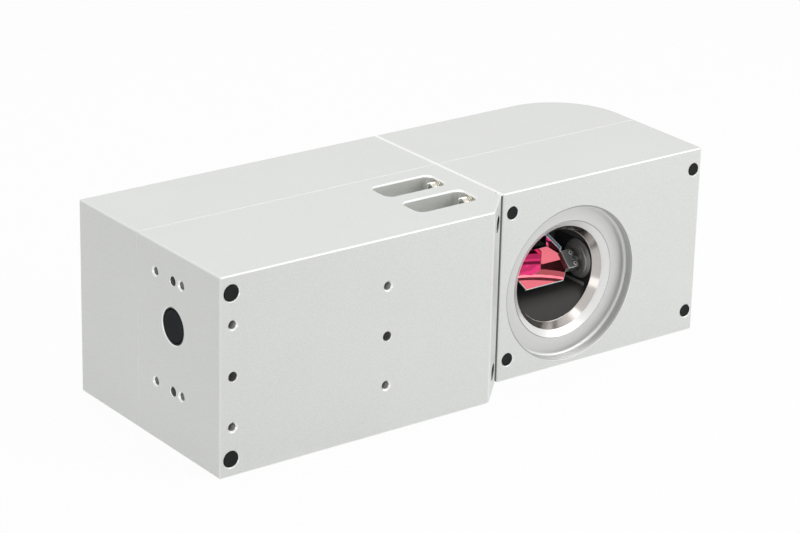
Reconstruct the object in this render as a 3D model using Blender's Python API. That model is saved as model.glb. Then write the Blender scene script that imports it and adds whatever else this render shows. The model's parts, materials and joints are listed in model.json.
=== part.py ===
# Galvo scanner head with a dynamic focus block, lying on its side with the scan aperture facing -Y.
# The left block moves a lens along the beam, and the right block turns two mirrors in front of the aperture.
# Sizes are real sizes in metres. Places are measured from the left end, the focus block's front face and
# the underside, and one empty carries the whole head to its place above the origin.

import math

import bmesh
import bpy
from mathutils import Matrix, Vector

MM = 0.001

# The two blocks
focus_length = 220 * MM
body_depth = 155 * MM
body_height = 126 * MM
seam_depth = 89 * MM
scan_setback = 22 * MM
joint_chamfer = 21.8 * MM
cover_corner_radius = 49 * MM
scan_edge_radius = 3 * MM
edge_break = 0.8 * MM
seat_gap = 0.25 * MM

# Walls
focus_end_wall = 16 * MM
focus_joint_wall = 20 * MM
focus_front_wall = 12 * MM
focus_bay_height = 86 * MM
focus_side_wall = (body_height - focus_bay_height) / 2
scan_joint_wall = 16 * MM
scan_end_wall = 14 * MM
scan_front_wall = 12 * MM
scan_side_wall = 12 * MM
cover_rear_wall = 8 * MM

# The beam enters along +X, drops from the first mirror to the second, and leaves along -Y
beam_y = 50 * MM
beam_rise = 16 * MM
beam_z = body_height / 2 + beam_rise
mirror_spacing = 24 * MM
aperture_z = beam_z - mirror_spacing
aperture_inset = 58.5 * MM
beam_hole_radius = 15 * MM

# Entry hole with its window, and the screw holes round it
entry_radius = 11.5 * MM
window_radius = entry_radius - seat_gap
window_thickness = 3 * MM
window_ring_recess = 0.3 * MM
window_ring_length = 1.5 * MM
window_ring_bore = 10.2 * MM
window_face = window_ring_recess + window_ring_length + seat_gap
entry_screw_rows = 70 * MM
entry_low_drop = 41.5 * MM
entry_low_row = beam_z - entry_low_drop
entry_screw_columns = 28 * MM
entry_near_column = 9 * MM

# Mounting holes
tapped_radius = 2.5 * MM
tapped_mouth = 3.4 * MM
tapped_depth = 14 * MM
dowel_radius = 3 * MM
dowel_depth = 9 * MM
mount_hole_inset = 9 * MM
mount_hole_columns = 110 * MM
mount_hole_rows = 32 * MM

# Corner screws and the plugs over them
focus_plug_radius = 5 * MM
focus_plug_length = 3 * MM
focus_screw_radius = 2.5 * MM
focus_screw_head_radius = 4.25 * MM
focus_screw_head_length = 5 * MM
focus_screw_length = 90 * MM
focus_screw_inset_x = 8 * MM
focus_screw_inset_z = 11 * MM
focus_screw_joint_inset = 10 * MM
focus_screw_joint_inset_z = 14 * MM
scan_plug_radius = 4 * MM
scan_plug_length = 2.5 * MM
scan_screw_radius = 2 * MM
scan_screw_head_radius = 3.4 * MM
scan_screw_head_length = 4 * MM
scan_screw_length = 75 * MM
scan_screw_joint_inset = 9.5 * MM
scan_screw_end_inset = 6 * MM
scan_screw_inset_z = 14 * MM
plug_recess = 0.3 * MM

# Coupling screws in their pockets
pocket_length = 45 * MM
pocket_width = 20 * MM
pocket_floor_wall = 3 * MM
pocket_depth = focus_side_wall - pocket_floor_wall
pocket_corner = 5 * MM
pocket_end_wall = 15.5 * MM
pocket_offset = 16 * MM
coupling_screw_depth = 6 * MM
coupling_screw_radius = 2.5 * MM
coupling_head_radius = 4.75 * MM
coupling_head_length = 9 * MM
coupling_reach = 12 * MM
coupling_seal_radius = 19.5 * MM
coupling_seal_section = 1.2 * MM

# Cover seals
seal_margin = 1.6 * MM
seal_width = 1.6 * MM
seal_depth = 1.4 * MM

# Aperture steps, from the front face inwards
lens_margin = 4 * MM
lens_thread_radius = aperture_z - lens_margin
lens_thread_depth = 7.2 * MM
lens_ledge_width = 12.2 * MM
lens_bore_radius = lens_thread_radius - lens_ledge_width
lens_bore_depth = 3.8 * MM
lens_bore_taper = 4.2 * MM
scan_bore_radius = lens_bore_radius - lens_bore_taper
scan_bore_taper = 4.2 * MM
throat_radius = scan_bore_radius - scan_bore_taper
aperture_boss_wall = 6.4 * MM
aperture_boss_radius = scan_bore_radius + aperture_boss_wall
aperture_boss_depth = 16 * MM

# Mirrors and the galvo motors that turn them
mirror_thickness = 2 * MM
glass_bevel = 0.25 * MM
first_mirror_lead = 2.2 * MM
second_mirror_shift = 2.1 * MM
# Half of each glass outline: places along the axis from where the beam turns, and half widths
first_glass = [(-10.5 * MM, 9 * MM), (-6.5 * MM, 14.4 * MM), (6 * MM, 14.4 * MM), (14 * MM, 6 * MM)]
second_glass = [(-22.9 * MM, 0.6 * MM), (-21.4 * MM, 5.1 * MM), (-18.7 * MM, 12.6 * MM),
                (11.6 * MM, 12.6 * MM), (18 * MM, 5.5 * MM)]
clamp_length = 6 * MM
clamp_thickness = 6.4 * MM
clamp_overlap = 2.4 * MM
hub_radius = 6.5 * MM
hub_length = 2.8 * MM
shaft_radius = 2.5 * MM
rotor_radius = 4.6 * MM
motor_radius = 13 * MM
motor_wall = 3 * MM
nose_radius = 12.4 * MM
nose_length = 2.4 * MM
bearing_radius = 5.5 * MM
bearing_length = 3 * MM
sensor_radius = 14 * MM
running_gap = 0.4 * MM
mount_wall_x = 30.5 * MM
mount_wall_y = 26 * MM
sensor_room = 22.75 * MM
sensor_end_room = 4.75 * MM
galvo_length = body_depth - beam_y - mount_wall_y - seat_gap - sensor_room
sensor_length = galvo_length / 4
motor_length = galvo_length - sensor_length
rotor_length = motor_length * 4 / 7

# The block that holds the two motors
mount_left = 32.5 * MM
motor_overhang_x = 11 * MM
motor_overhang_y = 10 * MM
mount_thickness_x = motor_length - motor_overhang_x
mount_thickness_y = motor_length - motor_overhang_y
mount_floor_drop = 15 * MM
mount_floor = aperture_z - mount_floor_drop
mount_rise = 26 * MM
mount_top = beam_z + mount_rise
mount_shoulder_rise = 18 * MM
mount_shoulder = aperture_z + mount_shoulder_rise
mount_chamfer = 3.6 * MM
mount_arch_height = 19 * MM
mount_leg = 6 * MM

# Focus drive
bench_left = 40 * MM
bench_end_room = 32 * MM
bench_right = focus_length - bench_end_room
bench_thickness = 10 * MM
bench_front = 34 * MM
bench_rear = 36 * MM
rod_radius = 3 * MM
rod_offset = 14 * MM
rod_drop = 34 * MM
rod_seat = 6 * MM
left_pedestal_length = 24 * MM
right_pedestal_length = 46 * MM
right_pedestal_left = bench_right - right_pedestal_length
pedestal_half_width = 20 * MM
pedestal_rise = 12 * MM
carriage_shift = 3 * MM
carriage_x = (bench_left + left_pedestal_length + right_pedestal_left) / 2 - carriage_shift
carriage_length = 32 * MM
carriage_half_width = 22 * MM
carriage_height = 14 * MM
lens_ring_radius = 24 * MM
lens_ring_length = 14 * MM
carriage_bore = 10 * MM
moving_lens_radius = 12.5 * MM
moving_lens_edge = 5 * MM
moving_lens_dish = 1.6 * MM
retainer_length = 2.6 * MM
coil_inner = 20 * MM
coil_outer = 22.4 * MM
yoke_radius = 26 * MM
yoke_length = 32 * MM
yoke_back = 4 * MM
coil_travel_room = 9 * MM
coil_length = carriage_x - lens_ring_length / 2 - bench_left - yoke_back - coil_travel_room
yoke_bore = 12 * MM
coil_clearance = 0.7 * MM
barrel_overhang = 2 * MM
barrel_left = right_pedestal_left - barrel_overhang
barrel_radius = 20 * MM
barrel_bore = 16 * MM
barrel_seat_depth = 10 * MM
barrel_socket = 8 * MM
objective_radius = 17.7 * MM
objective_edge = 5 * MM
objective_crown = 1.6 * MM
scale_thickness = 1 * MM
scale_height = 9 * MM
reader_gap = 0.8 * MM
reader_length = 18 * MM
reader_width = 8 * MM
reader_height = 26 * MM

# Circuit boards and connectors
board_thickness = 1.6 * MM
board_margin = 12 * MM
standoff_radius = 3.5 * MM
focus_standoff_length = 9 * MM
connector_x = 52 * MM
signal_rise = 23.5 * MM
signal_connector_z = body_height / 2 + signal_rise
power_drop = 18.5 * MM
power_connector_z = body_height / 2 - power_drop
connector_recess = 5 * MM
recess_margin = 4 * MM
signal_shell_width = 39 * MM
power_shell_width = 17 * MM
shell_height = 9 * MM
shell_wall = 1 * MM
post_spacing = 4 * MM
post_radius = 2.7 * MM
stud_radius = 1.5 * MM
flange_thickness = 1.2 * MM
flange_height = 12.5 * MM
connector_body_depth = 9 * MM

# Round work
WIDE_STEPS = 48
MEDIUM_STEPS = 24
FAIR_STEPS = 14
SMALL_STEPS = 10

# Places that follow from the sizes above
joint_x = focus_length
scan_left = joint_x + seat_gap
scan_right = (scan_left + aperture_inset + mount_wall_x + motor_length + seat_gap + sensor_length
              + sensor_end_room + scan_end_wall)
cover_front = seam_depth + seat_gap
aperture_x = scan_left + aperture_inset
half_glass = mirror_thickness / 2
DIAGONAL = math.sqrt(0.5)

def clear_scene():
    for old in list(bpy.data.objects):
        bpy.data.objects.remove(old)


def finish_material(name, colour, roughness, metallic):
    material = bpy.data.materials.new(name)
    material.use_nodes = True
    shader = material.node_tree.nodes["Principled BSDF"]
    shader.inputs["Base Color"].default_value = (*colour, 1.0)
    shader.inputs["Roughness"].default_value = roughness
    shader.inputs["Metallic"].default_value = metallic
    return material


def empty_at(name, place, parent=None):
    empty = bpy.data.objects.new(name, None)
    bpy.context.scene.collection.objects.link(empty)
    empty.location = place
    empty.parent = parent
    return empty


# Meshes

def box_mesh(low, high):
    bm = bmesh.new()
    bmesh.ops.create_cube(bm, size=1)
    low, high = Vector(low), Vector(high)
    bmesh.ops.scale(bm, vec=high - low, verts=bm.verts)
    bmesh.ops.translate(bm, vec=(low + high) / 2, verts=bm.verts)
    return bm


def prism_mesh(outline, axis, start, end):
    """The outline's two coordinates are the two axes other than the prism's own, in X, Y, Z order."""
    bm = bmesh.new()
    corners = []
    for first, second in outline:
        point = [first, second]
        point.insert("XYZ".index(axis), start)
        corners.append(bm.verts.new(point))
    face = bm.faces.new(corners)
    step = [0, 0, 0]
    step["XYZ".index(axis)] = end - start
    raised = bmesh.ops.extrude_face_region(bm, geom=[face])
    moved = [item for item in raised["geom"] if isinstance(item, bmesh.types.BMVert)]
    bmesh.ops.translate(bm, vec=step, verts=moved)
    bmesh.ops.recalc_face_normals(bm, faces=bm.faces)
    return bm


def ring_prism_mesh(outer, inner, axis, start, end):
    """A prism with a hole through it: the two outlines have the same number of points."""
    which = "XYZ".index(axis)
    bm = bmesh.new()
    loops = []
    for outline, along in ((outer, start), (inner, start), (inner, end), (outer, end)):
        corners = []
        for first, second in outline:
            point = [first, second]
            point.insert(which, along)
            corners.append(bm.verts.new(point))
        loops.append(corners)
    for one, other in zip(loops, loops[1:] + loops[:1]):
        for i in range(len(outer)):
            bm.faces.new((one[i - 1], one[i], other[i], other[i - 1]))
    bmesh.ops.recalc_face_normals(bm, faces=bm.faces)
    return bm


def turned_mesh(profile, axis, centre, steps, closed=False):
    """The profile holds pairs of place along the axis and radius. The centre is the other two coordinates."""
    which = "XYZ".index(axis)
    others = [i for i in range(3) if i != which]
    bm = bmesh.new()
    points = []
    for along, radius in profile:
        place = [0.0, 0.0, 0.0]
        place[which] = along
        place[others[0]] = centre[0] + radius
        place[others[1]] = centre[1]
        points.append(bm.verts.new(place))
    edges = [bm.edges.new(pair) for pair in zip(points, points[1:])]
    if closed:
        edges.append(bm.edges.new((points[-1], points[0])))
    middle = [0.0, 0.0, 0.0]
    middle[others[0]], middle[others[1]] = centre
    direction = [0.0, 0.0, 0.0]
    direction[which] = 1.0
    bmesh.ops.spin(bm, geom=points + edges, cent=middle, axis=direction, angle=2 * math.pi, steps=steps)
    bmesh.ops.remove_doubles(bm, verts=bm.verts, dist=0.001 * MM)
    bmesh.ops.recalc_face_normals(bm, faces=bm.faces)
    return bm


def rounded_rectangle(low, high, radius, steps):
    corners = (
        (high[0] - radius, high[1] - radius),
        (low[0] + radius, high[1] - radius),
        (low[0] + radius, low[1] + radius),
        (high[0] - radius, low[1] + radius),
    )
    quarter = math.pi / 2
    points = []
    for number, (x, y) in enumerate(corners):
        for i in range(steps + 1):
            turn = quarter * (number + i / steps)
            points.append((x + radius * math.cos(turn), y + radius * math.sin(turn)))
    return points


# Objects

def piece(name, bm, material, parent, smooth=True):
    mesh = bpy.data.meshes.new(name)
    bm.to_mesh(mesh)
    bm.free()
    if smooth:
        mesh.shade_smooth()
        mesh.set_sharp_from_angle(angle=math.radians(30))
    made = bpy.data.objects.new(name, mesh)
    bpy.context.scene.collection.objects.link(made)
    if material:
        mesh.materials.append(material)
    made.parent = parent
    return made


def shape_with(body, operation, meshes, parent=None):
    """Cuts each mesh out of the body, or joins it on."""
    for number, bm in enumerate(meshes, start=1):
        name = f"{body.name}_{operation.lower()}_{number}"
        tool = piece(name, bm, None, parent or body.parent, smooth=False)
        tool.hide_render = True
        tool.display_type = "WIRE"
        step = body.modifiers.new(f"{operation} {number}", "BOOLEAN")
        step.operation = operation
        step.object = tool
        step.solver = "EXACT"


def cut(body, meshes, parent=None):
    shape_with(body, "DIFFERENCE", meshes, parent)


def join(body, meshes, parent=None):
    shape_with(body, "UNION", meshes, parent)


def break_edges(body, width, segments=1):
    bevel = body.modifiers.new("Edge break", "BEVEL")
    bevel.width = width
    bevel.segments = segments
    bevel.limit_method = "ANGLE"
    bevel.angle_limit = math.radians(30)
    return bevel


# Holes, as the solids that are cut away

def drilled(axis, centre, radius, start, end, steps=SMALL_STEPS):
    turns = [2 * math.pi * i / steps for i in range(steps)]
    circle = [(centre[0] + radius * math.cos(turn), centre[1] + radius * math.sin(turn)) for turn in turns]
    return prism_mesh(circle, axis, start, end)


def tapped_hole(axis, centre, mouth, inwards):
    """A blind threaded hole with its countersunk mouth. inwards is +1 or -1 along the axis."""
    sink = tapped_mouth - tapped_radius
    profile = [
        (mouth - inwards * sink, 0),
        (mouth - inwards * sink, tapped_mouth + sink),
        (mouth + inwards * sink, tapped_radius),
        (mouth + inwards * tapped_depth, tapped_radius),
        (mouth + inwards * tapped_depth, 0),
    ]
    return turned_mesh(profile, axis, centre, SMALL_STEPS)


def dowel_hole(axis, centre, mouth, inwards):
    return drilled(axis, centre, dowel_radius, mouth - inwards * edge_break, mouth + inwards * dowel_depth)


def screw_path(centre, start, plug_radius, seat, shank_radius, end):
    """A corner screw's hole along Y: a counterbore for plug and head, then the shank's own hole."""
    wide, narrow = plug_radius + seat_gap, shank_radius + seat_gap
    profile = [(start, 0), (start, wide), (seat, wide), (seat, narrow), (end, narrow), (end, 0)]
    return turned_mesh(profile, "Y", centre, FAIR_STEPS)


def cap_screw(name, material, parent, axis, centre, seat, inwards, head, shank):
    """A socket head cap screw. seat is the plane under its head, and head and shank are (radius, length)."""
    head_radius, head_length = head
    shank_radius, shank_length = shank
    top = seat - inwards * head_length
    profile = [
        (top, 0),
        (top, head_radius),
        (seat, head_radius),
        (seat, shank_radius),
        (seat + inwards * shank_length, shank_radius),
        (seat + inwards * shank_length, 0),
    ]
    body = piece(name, turned_mesh(profile, axis, centre, SMALL_STEPS), material, parent)
    socket = [(top - inwards * edge_break, 0), (top - inwards * edge_break, head_radius * 0.6),
              (top + inwards * head_length / 2, head_radius * 0.6), (top + inwards * head_length / 2, 0)]
    cut(body, [turned_mesh(socket, axis, centre, 6)])
    return body


def plug(name, material, parent, centre, face, radius, length):
    rim = edge_break / 2
    profile = [
        (face, 0), (face, radius - rim), (face + rim, radius), (face + length, radius), (face + length, 0),
    ]
    return piece(name, turned_mesh(profile, "Y", centre, FAIR_STEPS), material, parent)


# Focus block

def focus_corners():
    """Each corner screw as (x, z, front face of its plug): the two by the joint sit behind the chamfer."""
    chamfer_end = joint_chamfer - focus_screw_joint_inset + focus_plug_radius
    columns = (
        (focus_screw_inset_x, focus_screw_inset_z, plug_recess),
        (focus_length - focus_screw_joint_inset, focus_screw_joint_inset_z, chamfer_end + plug_recess),
    )
    return [(x, z, face) for x, inset, face in columns for z in (inset, body_height - inset)]


def focus_seat(face):
    return face + focus_plug_length + seat_gap + focus_screw_head_length


def focus_plan():
    return [
        (0, 0), (focus_length - joint_chamfer, 0), (focus_length, joint_chamfer),
        (focus_length, seam_depth), (0, seam_depth),
    ]


def coupling_places():
    """Centre lines of the coupling screws as (y, z, outer face z, direction out)."""
    return [
        (beam_y + side * pocket_offset, face - out * coupling_screw_depth, face, out)
        for face, out in ((0.0, -1), (body_height, 1))
        for side in (-1, 1)
    ]


def pocket_cutter(y, face, out):
    right = joint_x - pocket_end_wall
    outline = rounded_rectangle((right - pocket_length, y - pocket_width / 2),
                                (right, y + pocket_width / 2), pocket_corner, 3)
    ends = sorted((face - out * pocket_depth, face + out * edge_break))
    return prism_mesh(outline, "Z", *ends)


def add_seal(name, housing, low, high, material, parent):
    """A cord seal in a groove round the opening from low to high in the housing's rear face."""
    def outline(margin):
        grown = [(low[0] - margin, low[1] - margin), (high[0] + margin, high[1] + margin)]
        return rounded_rectangle(*grown, margin + seal_width, 3)

    floor = seam_depth - seal_depth
    inner, outer = seal_margin, seal_margin + seal_width
    cut(housing, [ring_prism_mesh(outline(outer), outline(inner), "Y", floor, seam_depth + edge_break)])
    piece(name, ring_prism_mesh(outline(outer - seat_gap), outline(inner + seat_gap), "Y",
                                floor + seat_gap, seam_depth), material, parent)


def focus_opening():
    """The hollow's outline in X and Z, the same in the housing and its cover."""
    low = (focus_end_wall, focus_side_wall)
    return low, (focus_length - focus_joint_wall, body_height - focus_side_wall)


def focus_housing(materials, parent):
    body = piece("focus_housing", prism_mesh(focus_plan(), "Z", 0, body_height), materials["case"], parent)
    break_edges(body, edge_break)
    low, high = focus_opening()
    cut(body, [box_mesh((low[0], focus_front_wall, low[1]), (high[0], seam_depth + edge_break, high[1]))])
    add_seal("focus_seal", body, low, high, materials["rubber"], parent)
    beam = (beam_y, beam_z)
    window_seat = window_face + window_thickness + seat_gap
    entry = turned_mesh([
        (-edge_break, 0), (-edge_break, entry_radius + edge_break), (edge_break, entry_radius),
        (window_seat, entry_radius), (window_seat, window_ring_bore),
        (focus_end_wall + edge_break, window_ring_bore), (focus_end_wall + edge_break, 0),
    ], "X", beam, MEDIUM_STEPS)
    wall_left = focus_length - focus_joint_wall
    exit_bore = turned_mesh([
        (wall_left - edge_break, 0), (wall_left - edge_break, barrel_radius + seat_gap),
        (wall_left + barrel_socket, barrel_radius + seat_gap), (wall_left + barrel_socket, beam_hole_radius),
        (focus_length + edge_break, beam_hole_radius), (focus_length + edge_break, 0),
    ], "X", beam, MEDIUM_STEPS)
    cut(body, [entry, exit_bore, seal_groove()])
    cut(body, [screw_path((x, z), -edge_break, focus_plug_radius, focus_seat(face), focus_screw_radius,
                          seam_depth + edge_break) for x, z, face in focus_corners()])
    mid = body_height / 2
    for x in (mount_hole_inset, mount_hole_inset + mount_hole_columns):
        cut(body, [tapped_hole("Y", (x, mid + side * mount_hole_rows), 0, 1) for side in (-1, 1)])
        cut(body, [dowel_hole("Y", (x, mid), 0, 1)])
    near = beam_y - entry_near_column
    for z in (entry_low_row, entry_low_row + entry_screw_rows):
        cut(body, [tapped_hole("X", (y, z), 0, 1) for y in (near, near + entry_screw_columns)])
        cut(body, [dowel_hole("X", (beam_y, z), 0, 1)])
    for y, z, face, out in coupling_places():
        cut(body, [pocket_cutter(y, face, out)])
        start = joint_x - pocket_end_wall - edge_break
        cut(body, [drilled("X", (y, z), coupling_screw_radius + seat_gap, start, joint_x + edge_break)])
    return body


def seal_groove():
    inner = coupling_seal_radius - coupling_seal_section - seat_gap
    outer = coupling_seal_radius + coupling_seal_section + seat_gap
    floor = joint_x - 2 * coupling_seal_section - seat_gap
    end = joint_x + edge_break
    return turned_mesh([(floor, inner), (end, inner), (end, outer), (floor, outer)],
                       "X", (beam_y, beam_z), MEDIUM_STEPS, closed=True)


def coupling_seal(materials, parent):
    middle = joint_x - coupling_seal_section
    sides = 6
    section = [
        (middle + coupling_seal_section * math.cos(2 * math.pi * i / sides),
         coupling_seal_radius + coupling_seal_section * math.sin(2 * math.pi * i / sides))
        for i in range(sides)
    ]
    piece("coupling_seal", turned_mesh(section, "X", (beam_y, beam_z), MEDIUM_STEPS, closed=True),
          materials["rubber"], parent)


def focus_cover(materials, parent):
    body = piece("focus_cover", box_mesh((0, cover_front, 0), (focus_length, body_depth, body_height)),
                 materials["case"], parent)
    break_edges(body, edge_break)
    low, high = focus_opening()
    rear = body_depth - cover_rear_wall
    cut(body, [box_mesh((low[0], cover_front - edge_break, low[1]), (high[0], rear, high[1]))])
    cut(body, [drilled("Y", (x, z), focus_screw_radius + seat_gap, cover_front - edge_break,
                       focus_seat(face) + focus_screw_length + seat_gap) for x, z, face in focus_corners()])
    join(body, [drilled("Y", place, standoff_radius, rear - focus_standoff_length, rear + edge_break)
                for place in focus_board_posts()])


def focus_board_posts():
    low, high = focus_opening()
    return [(x, z) for x in (low[0] + board_margin, high[0] - board_margin)
            for z in (low[1] + board_margin, high[1] - board_margin)]


def focus_fasteners(materials, parent):
    for number, (x, z, face) in enumerate(focus_corners(), start=1):
        plug(f"focus_plug_{number}", materials["black_rubber"], parent, (x, z), face,
             focus_plug_radius, focus_plug_length)
        cap_screw(f"focus_corner_screw_{number}", materials["steel"], parent, "Y", (x, z),
                  focus_seat(face) - seat_gap, 1,
                  (focus_screw_head_radius, focus_screw_head_length - seat_gap),
                  (focus_screw_radius, focus_screw_length))


def coupling_screws(materials, parent):
    for number, (y, z, _, _) in enumerate(coupling_places(), start=1):
        seat = joint_x - pocket_end_wall - seat_gap
        cap_screw(f"coupling_screw_{number}", materials["steel"], parent, "X", (y, z), seat, 1,
                  (coupling_head_radius, coupling_head_length),
                  (coupling_screw_radius, pocket_end_wall + seat_gap + coupling_reach))


def entry_parts(materials, parent):
    """The dark window rests on a seat in the end wall, and a ring in front of it holds it there."""
    beam = (beam_y, beam_z)
    piece("entry_window", drilled("X", beam, window_radius, window_face, window_face + window_thickness,
                                  MEDIUM_STEPS), materials["dark_glass"], parent)
    ring, ring_back = window_ring_recess, window_ring_recess + window_ring_length
    piece("entry_ring", turned_mesh([
        (ring, window_ring_bore), (ring_back, window_ring_bore), (ring_back, window_radius),
        (ring, window_radius),
    ], "X", beam, MEDIUM_STEPS, closed=True), materials["black_metal"], parent)


def focus_bench(materials, parent):
    """Base plate with two pedestals: the left one carries the magnet, the right one the lens barrel."""
    floor = focus_side_wall + seat_gap
    plate_top = floor + bench_thickness
    body = piece("focus_bench", box_mesh((bench_left, beam_y - bench_front, floor),
                                         (bench_right, beam_y + bench_rear, plate_top)),
                 materials["black_metal"], parent)
    beam = (beam_y, beam_z)
    left_end = bench_left + left_pedestal_length
    blocks = (
        (bench_left + edge_break, left_end, yoke_radius),
        (right_pedestal_left, bench_right - edge_break, barrel_radius),
    )
    for start, end, radius in blocks:
        top = beam_z - radius + pedestal_rise
        join(body, [box_mesh((start, beam_y - pedestal_half_width, plate_top - edge_break),
                             (end, beam_y + pedestal_half_width, top))])
        cut(body, [drilled("X", beam, radius + seat_gap, start - edge_break, end + edge_break, MEDIUM_STEPS)])
    rod_left, rod_right = left_end - rod_seat, right_pedestal_left + rod_seat
    for side, word in ((-1, "front"), (1, "rear")):
        place = (beam_y + side * rod_offset, beam_z - rod_drop)
        cut(body, [drilled("X", place, rod_radius + seat_gap, rod_left, rod_right)])
        piece(f"guide_rod_{word}", drilled("X", place, rod_radius, rod_left + seat_gap, rod_right - seat_gap),
              materials["steel"], parent)


def magnet_yoke(materials, parent):
    inner = coil_inner - coil_clearance
    outer = coil_outer + coil_clearance
    end = bench_left + yoke_length
    floor = bench_left + yoke_back
    piece("magnet_yoke", turned_mesh([
        (bench_left, yoke_bore), (end, yoke_bore), (end, inner), (floor, inner), (floor, outer), (end, outer),
        (end, yoke_radius), (bench_left, yoke_radius),
    ], "X", (beam_y, beam_z), MEDIUM_STEPS, closed=True), materials["steel"], parent)


def dished_lens(left, right, radius, sag, steps):
    """A lens on the X axis whose two faces curve by sag: positive bulges out, negative dishes in."""
    rings = 3
    face = [(sag * (1 - (i / rings) ** 2), radius * i / rings) for i in range(rings + 1)]
    profile = [(left - bulge, r) for bulge, r in face] + [(right + bulge, r) for bulge, r in reversed(face)]
    return turned_mesh(profile, "X", (beam_y, beam_z), steps)


def focus_carriage(materials, slide_empty):
    """Everything here slides along the rods. Places are measured from the carriage's own middle."""
    parent = slide_empty
    beam = (0, 0)
    half = carriage_length / 2
    slider_top = -rod_drop + carriage_height / 2
    slider = box_mesh((-half, -carriage_half_width, slider_top - carriage_height),
                      (half, carriage_half_width, slider_top))
    body = piece("lens_carriage", slider, materials["bright_metal"], parent)
    ring_left, ring_right = -lens_ring_length / 2, lens_ring_length / 2
    join(body, [box_mesh((ring_left, -rod_offset, slider_top - edge_break),
                         (ring_right, rod_offset, -carriage_bore - edge_break))])
    join(body, [turned_mesh([(ring_left, 0), (ring_left, lens_ring_radius), (ring_right, lens_ring_radius),
                             (ring_right, 0)], "X", beam, MEDIUM_STEPS)])
    seat = ring_right - retainer_length - seat_gap - moving_lens_edge - seat_gap
    cut(body, [turned_mesh([
        (ring_left - edge_break, 0), (ring_left - edge_break, carriage_bore), (seat, carriage_bore),
        (seat, moving_lens_radius + seat_gap), (ring_right + edge_break, moving_lens_radius + seat_gap),
        (ring_right + edge_break, 0)], "X", beam, MEDIUM_STEPS)])
    cut(body, [turned_mesh([(-half - edge_break, 0), (-half - edge_break, rod_radius + seat_gap),
                            (half + edge_break, rod_radius + seat_gap), (half + edge_break, 0)],
                           "X", (side * rod_offset, -rod_drop), SMALL_STEPS) for side in (-1, 1)])
    lens_left = seat + seat_gap
    lens_right = lens_left + moving_lens_edge
    glass = dished_lens(lens_left, lens_right, moving_lens_radius, -moving_lens_dish, MEDIUM_STEPS)
    lens = piece("moving_lens", glass, materials["glass"], parent)
    lens.location = (0, -beam_y, -beam_z)
    retainer = [(lens_right + seat_gap, carriage_bore), (ring_right, carriage_bore),
                (ring_right, moving_lens_radius), (lens_right + seat_gap, moving_lens_radius)]
    piece("lens_retainer", turned_mesh(retainer, "X", beam, MEDIUM_STEPS, closed=True),
          materials["black_metal"], parent)
    coil_right = ring_left - seat_gap
    coil = [(coil_right - coil_length, coil_inner), (coil_right, coil_inner), (coil_right, coil_outer),
            (coil_right - coil_length, coil_outer)]
    piece("voice_coil", turned_mesh(coil, "X", beam, MEDIUM_STEPS, closed=True), materials["copper"], parent)
    side = carriage_half_width + seat_gap
    piece("encoder_scale", box_mesh((-half, side, -rod_drop - scale_height / 2),
                                    (half, side + scale_thickness, -rod_drop + scale_height / 2)),
          materials["glass"], parent)


def encoder_reader(materials, parent):
    face = beam_y + carriage_half_width + seat_gap + scale_thickness + reader_gap
    floor = focus_side_wall + seat_gap + bench_thickness + seat_gap
    low = (carriage_x - reader_length / 2, face, floor)
    high = (carriage_x + reader_length / 2, face + reader_width, floor + reader_height)
    piece("encoder_head", box_mesh(low, high), materials["black_metal"], parent)


def objective(materials, parent):
    right = focus_length - focus_joint_wall + barrel_socket - seat_gap
    wide = objective_radius + seat_gap
    left_floor = barrel_left + barrel_seat_depth
    right_floor = right - barrel_seat_depth
    piece("objective_barrel", turned_mesh([
        (barrel_left, wide), (left_floor, wide), (left_floor, barrel_bore), (right_floor, barrel_bore),
        (right_floor, wide), (right, wide), (right, barrel_radius), (barrel_left, barrel_radius),
    ], "X", (beam_y, beam_z), MEDIUM_STEPS, closed=True), materials["black_metal"], parent)
    inner = objective_edge + objective_crown + seat_gap
    for word, left in (("front", left_floor - inner), ("rear", right_floor + objective_crown + seat_gap)):
        glass = dished_lens(left, left + objective_edge, objective_radius, objective_crown, MEDIUM_STEPS)
        piece(f"objective_lens_{word}", glass, materials["glass"], parent)


def focus_board(materials, parent):
    rear = body_depth - cover_rear_wall - focus_standoff_length - seat_gap
    low, high = focus_opening()
    inset = board_margin / 2
    plate = box_mesh((low[0] + inset, rear - board_thickness, low[1] + inset),
                     (high[0] - inset, rear, high[1] - inset))
    body = piece("focus_board", plate, materials["circuit_board"], parent)
    cut(body, [drilled("Y", place, stud_radius, rear - board_thickness - edge_break, rear + edge_break, 8)
               for place in focus_board_posts()])


# Scan block

def scan_corners():
    return [
        (x, z)
        for x in (scan_left + scan_screw_joint_inset, scan_right - scan_screw_end_inset)
        for z in (scan_screw_inset_z, body_height - scan_screw_inset_z)
    ]


def scan_seat():
    return scan_setback + plug_recess + scan_plug_length + seat_gap + scan_screw_head_length


def scan_opening():
    low = (scan_left + scan_joint_wall, scan_side_wall)
    return low, (scan_right - scan_end_wall, body_height - scan_side_wall)


def scan_plan():
    """The scan housing seen from above, with its rounded edge beside the focus block."""
    steps = 4
    centre = (scan_left + scan_edge_radius, scan_setback + scan_edge_radius)
    arc = [
        (centre[0] - scan_edge_radius * math.cos(math.pi / 2 * i / steps),
         centre[1] - scan_edge_radius * math.sin(math.pi / 2 * i / steps))
        for i in range(steps + 1)
    ]
    return arc + [(scan_right, scan_setback), (scan_right, seam_depth), (scan_left, seam_depth)]


def second_axis():
    """The second mirror's axis lies inside its glass, behind the point where the beam turns."""
    along = second_mirror_shift * DIAGONAL
    behind = half_glass * DIAGONAL
    return (beam_y + along + behind, aperture_z + along - behind)


def first_axis():
    """The first axis lies inside its glass, whose face stands a little ahead of the beam's corner."""
    behind = (half_glass - first_mirror_lead) * DIAGONAL
    return (aperture_x + behind, beam_z + behind)


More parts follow.
